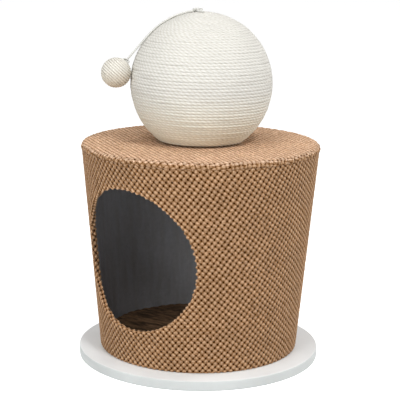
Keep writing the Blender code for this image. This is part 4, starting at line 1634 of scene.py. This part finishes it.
@dataclass
class Board:
    """The round white board under the drum, with its countersunk holes from below."""

    edge_round: float = 0.0018
    steps: int = 288
    hole_circle: float = 0.110
    hole_radius: float = 0.0023
    sink_radius: float = 0.0044
    sink_rim: float = 0.0008
    sink_depth: float = 0.0032
    hole_count: int = 4
    hole_steps: int = 32
    overshoot: float = 0.002
    level_facing: float = 0.8
    sharp_deg: float = 35.0

    def hole_places(self) -> list:
        """Gives where the screws stand."""
        reach = self.hole_circle
        turns = [2 * math.pi * (index + 0.5) / self.hole_count for index in range(self.hole_count)]
        return [Vector((reach * math.cos(turn), reach * math.sin(turn), 0.0)) for turn in turns]

    def build(self, finishes: Finishes) -> Piece:
        """Builds the board.

        Args:
            finishes: The shared materials.

        Returns:
            The finished piece.
        """
        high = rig.box("base_plate")[1]
        soft, over = self.edge_round, self.overshoot
        inner = high.x - soft
        profile = [(0.0, 0.0), (inner * 0.5, 0.0)] + arc((inner, soft), soft, -90, 0, 5)
        profile += arc((inner, high.z - soft), soft, 0, 90, 5) + [(inner * 0.5, high.z), (0.0, high.z)]
        points, faces = turned(profile, self.steps)
        board = new_piece("board", points, faces, [finishes.board, finishes.panel, finishes.edge_painted_shade])
        # Upright faces take the darker copy of the paint: painted shade on the edge.
        upright = [abs(polygon.normal.z) < self.level_facing for polygon in board.data.polygons]
        board.data.polygons.foreach_set("material_index", 2 * np.array(upright, np.int32))
        cone = [(0.0, -over), (self.sink_radius, -over), (self.sink_radius, self.sink_rim)]
        cone += [(self.hole_radius, self.sink_depth), (self.hole_radius, high.z + over), (0.0, high.z + over)]
        cutters: list = []
        for place in self.hole_places():
            cutter = new_piece("hole_cutter", *turned(cone, self.hole_steps), [finishes.panel])
            cutter.location = place
            cutters.append(cutter)
            cut = board.modifiers.new("hole", "BOOLEAN")
            cut.operation = "DIFFERENCE"
            cut.solver = "EXACT"
            cut.material_mode = "TRANSFER"
            cut.object = cutter
        applied(board)
        for cutter in cutters:
            bpy.data.objects.remove(cutter)
        board.data.set_sharp_from_angle(angle=math.radians(self.sharp_deg))
        return board


@dataclass(frozen=True)
class Lay:
    """How a rope or cord is twisted from its strands, and how far it is squashed between its neighbours."""

    diameter: float
    strands: int = 3
    length: float = 0.018
    groove: float = 0.10
    groove_power: float = 1.5
    jitter: float = 0.03
    jitter_size: float = 0.02
    jitter_seed: int = 7
    wide: float = 1.0
    square: float = 2.0
    twist_shows: float = 1.0
    # Painted shade towards the section's edges, where neighbouring turns meet.
    painted_crease_shade: float = 0.0


def twisted_tube(
    name: str, line: Array, up: Array, lay: Lay, angles: Array, material: Material, closed: bool = False
) -> Piece:
    """Sweeps a twisted rope's section along a line.

    Args:
        name: The piece's name.
        line: The rope's middle line.
        up: For each point the direction in which angle 0 of the section points.
        lay: The rope's twist.
        angles: Where the section has corners, in radians from up.
        material: Its material.
        closed: True for a line that joins its own start.

    Returns:
        The new object.
    """
    if closed:
        ahead = np.roll(line, -1, axis=0) - np.roll(line, 1, axis=0)
        way = along_line(np.concatenate((line, line[:1])))[:-1]
    else:
        ahead = np.gradient(line, axis=0)
        way = along_line(line)
    ahead /= np.linalg.norm(ahead, axis=1)[:, None]
    up = up - ahead * np.sum(up * ahead, axis=1)[:, None]
    up /= np.linalg.norm(up, axis=1)[:, None]
    side = np.cross(ahead, up)
    turns = way[:, None] / lay.length
    phase = lay.strands * (angles[None, :] / (2 * math.pi) - turns)
    lobe = 0.5 + 0.5 * np.cos(2 * math.pi * phase)
    rough = 1.0 + lay.jitter * smooth_noise(way, lay.jitter_size, lay.jitter_seed)[:, None]
    squared = np.abs(np.cos(angles)) ** lay.square + np.abs(np.sin(angles) / lay.wide) ** lay.square
    section = squared[None, :] ** (-1.0 / lay.square)
    radius = 0.5 * lay.diameter * section * rough * (1.0 - lay.groove * (1.0 - lobe) ** lay.groove_power)
    spread = np.cos(angles)[None, :, None] * up[:, None, :] + np.sin(angles)[None, :, None] * side[:, None, :]
    points = (line[:, None, :] + radius[:, :, None] * spread).reshape(-1, 3)
    number = np.arange(len(points)).reshape(-1, len(angles))
    if closed:
        faces = band(number, np.roll(number, -1, axis=0)).tolist()
    else:
        faces = band(number[:-1], number[1:]).tolist() + [number[0][::-1].tolist(), number[-1].tolist()]
    ways = np.broadcast_to(way[:, None], phase.shape)
    yarn = np.stack((ways, phase * lay.diameter * 0.5, 0.0 * phase), axis=-1)
    # The lobe value carries painted shade: low between the strands and, by the lay's crease setting, towards the
    # section's edges where turns meet.
    shown = 1.0 - lay.twist_shows * (1.0 - lobe)
    shown = shown * (1.0 - lay.painted_crease_shade * np.abs(np.sin(angles))[None, :] ** 4)
    values = {"lobe": shown.ravel(), "yarn": yarn.reshape(-1, 3)}
    return new_piece(name, points, faces, [material], values)


@dataclass(frozen=True)
class Winding:
    """A rope wound round and round a ball in one unbroken spiral."""

    radius: float
    lay: Lay
    first_reach: float
    last_fall: float
    ring_step: float
    pitch: float
    start_turn: float = 0.0
    wander: float = 0.0003
    wander_size: float = 0.04
    wander_seed: int = 3
    sag_size: float = 0.06
    sag_seed: int = 4
    steps_in_turn: int = 160
    half_section: float = math.radians(82.0)
    section_corners: int = 6

    def line(self) -> tuple[Array, Array]:
        """Gives the rope's middle line round a ball at the origin, and each point's direction outwards."""
        line_radius = self.radius - 0.5 * self.lay.diameter
        first_fall = math.asin(self.first_reach / line_radius)
        turns = (self.last_fall - first_fall) * line_radius / self.pitch
        fall = np.linspace(first_fall, self.last_fall, int(turns * self.steps_in_turn))
        turn = self.start_turn + (fall - first_fall) * line_radius / self.pitch * 2 * math.pi
        step = np.hypot(np.diff(fall), np.sin(fall[1:]) * np.diff(turn)) * line_radius
        way = np.concatenate(([0.0], np.cumsum(step)))
        even = np.linspace(0.0, way[-1], int(way[-1] / self.ring_step) + 1)
        fall, turn = np.interp(even, way, fall), np.interp(even, way, turn)
        fall = fall + self.wander * smooth_noise(even, self.wander_size, self.wander_seed) / line_radius
        out = np.stack((np.sin(fall) * np.cos(turn), np.sin(fall) * np.sin(turn), np.cos(fall)), axis=1)
        sag = self.wander * smooth_noise(even, self.sag_size, self.sag_seed)[:, None]
        return out * (line_radius + sag), out

    def build(self, name: str, material: Material) -> Piece:
        """Builds the winding round the origin.

        Args:
            name: The piece's name.
            material: The rope's material.

        Returns:
            The new object.
        """
        line, out = self.line()
        angles = np.linspace(-self.half_section, self.half_section, self.section_corners)
        piece = twisted_tube(name, line, out, self.lay, angles, material)
        LOG.info("%s: %.1f m of rope", name, along_line(line)[-1])
        return piece


@dataclass
class ScratchBall:
    """The rope-wound ball and the moulded core under its rope."""

    radius: float = 0.1157
    centre: Vector = field(default_factory=lambda: Vector((0.0, 0.0, 0.4546)))
    rope: Lay = Lay(diameter=0.0050, length=0.0250, groove=0.13, jitter=0.05, wide=1.32, square=3.2)
    pitch: float = 0.0050
    first_reach: float = 0.0042
    ring_step: float = 0.0020
    start_deg: float = 140.0
    clearance: float = 0.0003
    core_wall: float = 0.006
    core_steps: int = 96
    outer_rows: int = 40
    inner_rows: int = 36
    seat_radius: float = 0.0300

    def foot_fall(self) -> float:
        """Gives the angle from the pole where the lowest turn lies on the drum's top."""
        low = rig.box("ball_rope")[0].z + 0.5 * self.rope.diameter - self.centre.z
        return math.acos(low / (self.radius - 0.5 * self.rope.diameter))

    def build_rope(self, finishes: Finishes) -> Piece:
        """Builds the winding."""
        winding = Winding(
            radius=self.radius,
            lay=self.rope,
            first_reach=self.first_reach,
            last_fall=self.foot_fall(),
            ring_step=self.ring_step,
            pitch=self.pitch,
            start_turn=math.radians(self.start_deg),
        )
        rope = winding.build("ball_sisal", finishes.rope)
        rope.data.transform(Matrix.Translation(self.centre))
        return rope

    def build_core(self, finishes: Finishes) -> Piece:
        """Builds the moulded core that the rope is glued on.

        Args:
            finishes: The shared materials.

        Returns:
            The finished piece.
        """
        steps = self.core_steps
        outside = self.radius - self.rope.diameter - self.clearance
        inside = outside - self.core_wall
        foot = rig.box("ball_core")[0].z - self.centre.z
        seat_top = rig.box("ball_seat")[1].z - self.centre.z
        hole = self.seat_radius + self.clearance
        start = math.degrees(math.asin(foot / outside))
        stop = math.degrees(math.asin(seat_top / inside))
        outer = [(hole, foot)] + arc((0.0, 0.0), outside, start, 90, self.outer_rows)
        outer[-1] = (0.0, outside)
        inner = arc((0.0, 0.0), inside, 90, stop, self.inner_rows) + [(hole, seat_top)]
        inner[0] = (0.0, inside)
        points, faces = turned(outer, steps)
        inner_points, inner_faces = turned(inner, steps)
        last, inner_last = len(points) - 1, len(inner_points) - 1
        # turned() closes both outlines with a cone from the pole to the hole. Only the faces at the first
        # corner are dropped here; the rest stay inside the hollow core, where nothing shows them.
        joined = [face for face in faces if not {last, 0} <= set(face)]
        for face in inner_faces:
            if not {0, inner_last} <= set(face):
                joined.append([corner + len(points) for corner in face])
        ring = np.arange(steps)
        joined += band(len(points) + len(inner_points) - steps + ring, ring).tolist()
        core = new_piece("ball_shell", np.concatenate((points, inner_points)), joined, [finishes.pulp])
        core.data.transform(Matrix.Translation(self.centre))
        return core


@dataclass
class HangingToy:
    """The toy ball with its cord over the big ball and a knot at each end.

    The cord's route is given in the upright plane through the ball's axis and the toy, as the reach from the
    axis and the height above the ball's centre, from the top knot to the toy's knot. A knot's loops are the
    size of its loops and how far its crossings rise. A loose end has a name, a bearing and a curl.
    """

    ball: ScratchBall
    bearing_deg: float = 229.3
    centre_reach: float = 0.1394
    centre_rise: float = 0.01835
    radius: float = 0.0245
    clearance: float = 0.0002
    core_rows: int = 32
    core_steps: int = 48
    cord: Lay = Lay(diameter=0.0035, strands=3, length=0.0120, groove=0.12)
    hitch: Lay = Lay(diameter=0.0020, strands=3, length=0.008, groove=0.12)
    wound: Lay = Lay(
        diameter=0.0038, strands=2, length=0.0120, groove=0.02, wide=1.14, twist_shows=0.2, painted_crease_shade=0.9
    )
    wound_pitch: float = 0.0038
    wound_reach: float = 0.0030
    wound_step: float = 0.0011
    wound_wander: float = 0.00012
    wound_corners: int = 7
    leaves_ball: tuple = (0.0891, 0.0768)
    cord_length: float = 0.142
    cord_corners: int = 12
    route_step: float = 0.0009
    bend_reach: float = 0.007
    pole_loops: tuple = (0.0026, 0.0017)
    knot_reach: float = 0.0068
    knot_lift: float = 0.0003
    hitch_loops: tuple = (0.0018, 0.0014)
    hitch_away: float = 0.0014
    knot_steps: int = 120
    loose_ends: tuple = (("knot_end_left", 196.0, 0.45), ("knot_end_right", 290.0, 0.5))
    loose_from: float = 0.0075
    loose_length: float = 0.0095
    loose_lift: float = 0.0017
    loose_spring: float = 0.0012
    loose_steps: int = 24
    loose_corners: int = 10
    over_ball: tuple = (
        (0.0079, 0.1178), (0.0148, 0.1167), (0.0215, 0.1157), (0.0281, 0.1142), (0.0346, 0.1124),
        (0.0410, 0.1103), (0.0472, 0.1078), (0.0533, 0.1049), (0.0591, 0.1017), (0.0648, 0.0982),
        (0.0702, 0.0944), (0.0753, 0.0904), (0.0802, 0.0861), (0.0847, 0.0816), (0.0891, 0.0768),
    )
    to_toy: tuple = (
        (0.0938, 0.0714), (0.0985, 0.0660), (0.1032, 0.0605), (0.1079, 0.0550), (0.1126, 0.0495),
        (0.1166, 0.0449), (0.1211, 0.0398),
    )

    def in_plane(self, reach: float, height: float) -> Vector:
        """Gives a point of the cord's upright plane."""
        bearing = math.radians(self.bearing_deg)
        return self.ball.centre + Vector((reach * math.cos(bearing), reach * math.sin(bearing), height))

    def toy_frame(self) -> Matrix:
        """Gives the toy's place, with its Z towards the point where the cord leaves the big ball."""
        centre = self.in_plane(self.centre_reach, self.centre_rise)
        towards = (self.in_plane(*self.leaves_ball) - centre).normalized()
        return Matrix.Translation(centre) @ towards.to_track_quat("Z", "Y").to_matrix().to_4x4()

    def route(self) -> Array:
        """Gives evenly spaced points of the cord's middle line, from the top knot to the toy's."""
        points = [tuple(self.in_plane(*point)) for point in self.over_ball + self.to_toy]
        return smooth_route(np.array(points), self.route_step)

    def build_cord(self, finishes: Finishes) -> Piece:
        """Builds the cord as one twisted piece that bends where it leaves the ball.

        Args:
            finishes: The shared materials.

        Returns:
            The finished piece.
        """
        line = self.route()
        out = line - np.array(tuple(self.ball.centre))
        cord = twisted_tube("toy_cord", line, out, self.cord, round_section(self.cord_corners), finishes.cord)
        pivot = self.in_plane(*self.leaves_ball)
        reach = (self.in_plane(*self.to_toy[0]) - pivot).normalized() * self.bend_reach
        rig.blend(cord, Body.TOY_LINE.value, Body.TOY.value, start=pivot - reach, end=pivot + reach)
        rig.slot(cord, Slot.CORD.value)
        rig.replaces(cord, "cord_on_ball", "cord_to_toy")
        LOG.info("toy_cord: %.3f m long", along_line(line)[-1])
        return cord

    def build_knot(self, name: str, loops: tuple, lay: Lay, finishes: Finishes) -> Piece:
        """Builds a drawn-up knot that lies flat round the origin.

        Args:
            name: The piece's name.
            loops: Size of its loops, and how far its crossings rise.
            lay: The cord that it is tied in.
            finishes: The shared materials.

        Returns:
            The new object.
        """
        loop, rise = loops
        turn = round_section(self.knot_steps)
        x = loop * (2 * np.cos(2 * turn) - np.cos(turn))
        y = loop * (np.sin(turn) + 2 * np.sin(2 * turn))
        line = np.stack((x, y, -rise * np.sin(3 * turn)), axis=1)
        up = np.broadcast_to(np.array([0.0, 0.0, 1.0]), line.shape)
        return twisted_tube(name, line, up, lay, round_section(self.cord_corners), finishes.cord, closed=True)

    def build_top_knot(self, finishes: Finishes) -> Piece:
        """Builds the knot at the ball's pole."""
        low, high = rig.box("top_knot")
        knot = self.build_knot("pole_knot", self.pole_loops, self.cord, finishes)
        swing = Matrix.Rotation(math.radians(self.bearing_deg), 4, "Z")
        lift = Matrix.Translation((self.knot_reach, 0.0, 0.5 * (low.z + high.z) + self.knot_lift))
        knot.data.transform(swing @ lift)
        return knot

    def build_loose_ends(self, finishes: Finishes) -> list:
        """Builds the knot's two loose ends, which lie on the ball."""
        ends: list = []
        for name, bearing_deg, curl in self.loose_ends:
            share = np.linspace(0.0, 1.0, self.loose_steps)
            bearing = math.radians(bearing_deg) + curl * share**2
            reach = self.loose_from + self.loose_length * share
            lift = self.ball.radius + self.loose_lift + self.loose_spring * (1.0 - share) ** 2
            height = np.sqrt(lift**2 - reach**2)
            line = np.stack((reach * np.cos(bearing), reach * np.sin(bearing), height), axis=1)
            end = twisted_tube(name, line, line, self.cord, round_section(self.loose_corners), finishes.cord)
            end.data.transform(Matrix.Translation(self.ball.centre))
            ends.append(end)
        return ends

    def build_toy_knot(self, finishes: Finishes) -> Piece:
        """Builds the knot where the cord meets the toy."""
        knot = self.build_knot("toy_hitch", self.hitch_loops, self.hitch, finishes)
        away = Matrix.Translation((0.0, 0.0, self.radius + self.hitch_away))
        knot.data.transform(self.toy_frame() @ away)
        return knot

    def build_winding(self, finishes: Finishes) -> Piece:
        """Builds the thin cord wound round the toy."""
        winding = Winding(
            radius=self.radius,
            lay=self.wound,
            first_reach=self.wound_reach,
            last_fall=math.pi - math.asin(self.wound_reach / (self.radius - 0.5 * self.wound.diameter)),
            ring_step=self.wound_step,
            pitch=self.wound_pitch,
            wander=self.wound_wander,
            section_corners=self.wound_corners,
        )
        piece = winding.build("toy_twine", finishes.twine)
        piece.data.transform(self.toy_frame())
        return piece

    def build_core(self, finishes: Finishes) -> Piece:
        """Builds the pulp ball that the twine is wound on."""
        outside = self.radius - self.wound.diameter - self.clearance
        profile = arc((0.0, 0.0), outside, -90, 90, self.core_rows)
        profile[0] = (0.0, -outside)
        profile[-1] = (0.0, outside)
        points, faces = turned(profile, self.core_steps)
        core = new_piece("toy_ball_core", points, faces, [finishes.pulp])
        core.data.transform(self.toy_frame())
        return core

    def declare(self, cord: Piece, pieces: list) -> None:
        """States the cord's real length, its ends and what is on it."""
        route = [tuple(point) for point in self.route()]
        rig.cord(
            cord,
            exit=route[0],
            length=self.cord_length,
            diameter=self.cord.diameter,
            far_end="object",
            stiffness="limp",
            lay="taut",
            path=route,
            with_pieces=pieces,
        )


@dataclass(frozen=True)
class Lamp:
    """A soft square lamp that faces the object, placed by its bearing to the right of the camera's view."""

    name: str
    bearing_deg: float
    rise_deg: float
    side: float
    watts: float


@dataclass
class Studio:
    """The camera at the photograph's view, the pale floor, the white surround and the soft lamps."""

    azimuth_deg: float = 39.3
    distance: float = 2.106
    height: float = 0.7156
    pitch: float = 0.2129
    roll: float = 0.013
    focal_px: float = 1300.56
    picture_px: float = 400.0
    sensor_mm: float = 36.0
    world_strength: float = 0.22
    floor_glow: float = 0.82
    floor_grey: tuple = (0.80, 0.80, 0.80, 1.0)
    floor_reach: float = 12.0
    floor_drop: float = 0.0002
    lamp_distance: float = 2.6
    lamp_aim: float = 0.28
    lamps: tuple = (
        Lamp("left_lamp", -38.0, 14.0, 1.6, 23.0),
        Lamp("right_lamp", 44.0, 10.0, 0.8, 8.0),
        Lamp("side_lamp", 108.0, 20.0, 0.8, 20.0),
        Lamp("key_lamp", 24.0, 52.0, 0.5, 26.0),
        Lamp("front_lamp", -20.0, 44.0, 0.8, 14.0),
        Lamp("top_lamp", -60.0, 80.0, 1.0, 16.0),
        Lamp("back_lamp", 180.0, 55.0, 1.6, 4.0),
    )

    def outwards(self, bearing: float, rise: float) -> Vector:
        """Gives the direction away from the object at a bearing, from -Y towards +X, and a rise."""
        level = math.cos(rise)
        return Vector((math.sin(bearing) * level, -math.cos(bearing) * level, math.sin(rise)))

    def build_camera(self) -> None:
        """Sets the camera from its fitted place, pitch and roll."""
        azimuth = math.radians(self.azimuth_deg)
        place = Vector((math.sin(azimuth) * self.distance, -math.cos(azimuth) * self.distance, self.height))
        ahead = -self.outwards(azimuth, self.pitch)
        level = Vector((math.cos(azimuth), math.sin(azimuth), 0.0))
        upright = level.cross(ahead)
        right = level * math.cos(self.roll) + upright * math.sin(self.roll)
        up = upright * math.cos(self.roll) - level * math.sin(self.roll)
        data = bpy.data.cameras.new("camera")
        data.sensor_width = self.sensor_mm
        data.lens = self.focal_px / self.picture_px * self.sensor_mm
        camera = linked("camera", data)
        rows = [(right[axis], up[axis], -ahead[axis], place[axis]) for axis in range(3)]
        camera.matrix_world = Matrix((*rows, (0.0, 0.0, 0.0, 1.0)))
        bpy.context.scene.camera = camera

    def build_floor(self) -> None:
        """Builds the pale floor, which goes on to the horizon and keeps the object's shadow."""
        size = self.floor_reach
        points = np.array([(-size, -size, 0.0), (size, -size, 0.0), (size, size, 0.0), (-size, size, 0.0)])
        floor = new_piece("floor", points, [[0, 1, 2, 3]], [self.floor_material()])
        floor.location.z = -self.floor_drop
        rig.stage(floor)

    def seen(self, tree: bpy.types.NodeTree) -> Socket:
        """Gives 1 where the camera looks, a reflection shows or light comes through, and 0 for the rest."""
        rays = add_node(tree, "ShaderNodeLightPath").outputs
        seen = rays["Is Camera Ray"]
        for name in ("Is Glossy Ray", "Is Transmission Ray"):
            seen = add_node(tree, "ShaderNodeMath", {0: seen, 1: rays[name]}, operation="MAXIMUM").outputs[0]
        return seen

    def floor_material(self) -> Material:
        """Makes the floor white to the camera and in reflections, apart from the shadow on it."""
        material = bpy.data.materials.new("studio_floor")
        material.use_nodes = True
        tree = material.node_tree
        tree.nodes.clear()
        diffuse = add_node(tree, "ShaderNodeBsdfDiffuse", {"Color": self.floor_grey})
        factors = {0: self.seen(tree), 1: self.floor_glow}
        strength = add_node(tree, "ShaderNodeMath", factors, operation="MULTIPLY")
        glow = add_node(tree, "ShaderNodeEmission", {"Strength": strength.outputs[0]})
        both = add_node(tree, "ShaderNodeAddShader", {0: diffuse.outputs[0], 1: glow.outputs[0]})
        add_node(tree, "ShaderNodeOutputMaterial", {"Surface": both.outputs[0]})
        return material

    def build_world(self) -> None:
        """Lights the scene evenly from all round, and shows pure white behind the object."""
        world = bpy.data.worlds.new("studio")
        bpy.context.scene.world = world
        world.use_nodes = True
        tree = world.node_tree
        tree.nodes.clear()
        light, shown = (
            add_node(tree, "ShaderNodeBackground", {"Color": (1.0, 1.0, 1.0, 1.0), "Strength": strength})
            for strength in (self.world_strength, 1.0)
        )
        inputs = {"Fac": self.seen(tree), 1: light.outputs[0], 2: shown.outputs[0]}
        mix = add_node(tree, "ShaderNodeMixShader", inputs)
        add_node(tree, "ShaderNodeOutputWorld", {"Surface": mix.outputs[0]})

    def build_lamp(self, lamp: Lamp) -> None:
        """Hangs one of the lamps round the object's middle."""
        data = bpy.data.lights.new(lamp.name, "AREA")
        data.shape = "SQUARE"
        data.size = lamp.side
        data.energy = lamp.watts
        away = self.outwards(math.radians(self.azimuth_deg + lamp.bearing_deg), math.radians(lamp.rise_deg))
        hung = linked(lamp.name, data)
        hung.location = Vector((0.0, 0.0, self.lamp_aim)) + away * self.lamp_distance
        hung.rotation_mode = "QUATERNION"
        hung.rotation_quaternion = away.to_track_quat("Z", "Y")

    def build(self) -> None:
        """Builds the whole studio."""
        self.build_camera()
        self.build_floor()
        self.build_world()
        for lamp in self.lamps:
            self.build_lamp(lamp)
        bpy.context.scene.view_settings.view_transform = "Standard"


def cut_ring(form: DrumForm, low: float, high: float, inset: float, opening: float) -> dict:
    """Works out the flat cut of a cloth that goes once round the drum.

    Args:
        form: The drum's form.
        low: Height of the cloth's foot.
        high: Height of its head.
        inset: How far inside the cover it lies.
        opening: Area of the hole cut in it for the entrance.
    """
    half = math.pi * math.sin(form.flare)
    near, far = (float(form.radius(height, inset)) / math.sin(form.flare) for height in (low, high))
    size = (2.0 * far * math.sin(half), far - near * math.cos(half))
    return {"flat": size, "area": (far * far - near * near) * half - opening}


def cut_disc(radius: float) -> dict:
    return {"flat": (2.0 * radius, 2.0 * radius), "area": math.pi * radius * radius}


def write_size(before: tuple, after: tuple) -> None:
    """Writes the CAD model's box and the dressed model's box.

    Args:
        before: The lowest and highest corner straight after loading.
        after: The same corners at the end.
    """
    sizes = {"cad": [list(corner) for corner in before], "visual": [list(corner) for corner in after]}
    with open(SIZE_FILE, "w") as target:
        json.dump(sizes, target)


def main() -> None:
    """Builds the studio, then every sub-assembly from the toy's cord down to the board."""
    logging.basicConfig(level=logging.INFO, format="%(message)s")
    finishes = Finishes()
    Studio().build()

    ball = ScratchBall()
    toy = HangingToy(ball)
    cord = toy.build_cord(finishes)
    pole_knot = seat(toy.build_top_knot(finishes), Body.TOY_LINE, Slot.CORD, "top_knot")
    ends = [seat(end, Body.TOY_LINE, Slot.CORD) for end in toy.build_loose_ends(finishes)]
    hitch = seat(toy.build_toy_knot(finishes), Body.TOY, Slot.CORD, "toy_knot")
    seat(toy.build_winding(finishes), Body.TOY, Slot.CORD, "toy_winding")
    seat(toy.build_core(finishes), Body.TOY, Slot.PULP, "toy_core")
    toy.declare(cord, [pole_knot, hitch, *ends])

    seat(ball.build_rope(finishes), Body.CAVE, Slot.ROPE, "ball_rope")
    seat(ball.build_core(finishes), Body.CAVE, Slot.PULP, "ball_core")

    form = DrumForm()
    weave = BobbleWeave()
    drum_plush = seat(DrumCloth(form, weave).build(finishes), Body.CAVE, Slot.PLUSH, "drum_cover")
    drum_cut = cut_ring(form, form.foot_height, form.seam_height, 0.0, ENTRANCE_AREA)
    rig.sheet(drum_plush, held="stretched", rests_on=["drum_wall"], **drum_cut)
    top_cloth = TopCloth(form, weave)
    top_plush = seat(top_cloth.build(finishes), Body.CAVE, Slot.PLUSH, "top_cover")
    wadding = seat(TopWadding().build(finishes), Body.CAVE, Slot.FOAM, "top_padding")
    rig.sheet(top_plush, held="stretched", rests_on=[wadding.name], **cut_disc(top_cloth.edge))

    room = DrumRoom(form)
    low, high = (corner.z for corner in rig.box("drum_lining"))
    room_felt = seat(room.build_wall(low, high, finishes), Body.CAVE, Slot.LINING, "drum_lining")
    room_cut = cut_ring(form, low, high, room.inset, ENTRANCE_AREA)
    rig.sheet(room_felt, held="laid", rests_on=["drum_wall"], **room_cut)
    for name, node, bore, under in (
        ("floor_felt", "floor_lining", 0.0, "drum_floor"),
        ("ceiling_felt", "ceiling_lining", BOLT_HOLE, "top_board"),
    ):
        disc = seat(room.build_disc(name, node, bore, finishes), Body.CAVE, Slot.LINING, node)
        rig.sheet(disc, held="laid", rests_on=[under], **cut_disc(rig.box(node)[1].x))
    seat(Mat().build(finishes), Body.MAT, Slot.MAT_PLUSH, "mat_top", "mat_foam", "mat_underside")
    seat(Board().build(finishes), Body.CAVE, Slot.BOARD, "base_plate")

    for node in ("drum_floor", "drum_wall", "top_board"):
        dress(node, finishes.panel)
    dress("ball_seat", finishes.softwood)
    screws = [f"base_screw_{index}" for index in range(1, 5)]
    for node in ("ball_insert", "ball_washer", "ball_bolt", *screws):
        dress(node, finishes.zinc)
    write_size(CAD_BOX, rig.bounds())


if __name__ == "__main__":
    main()
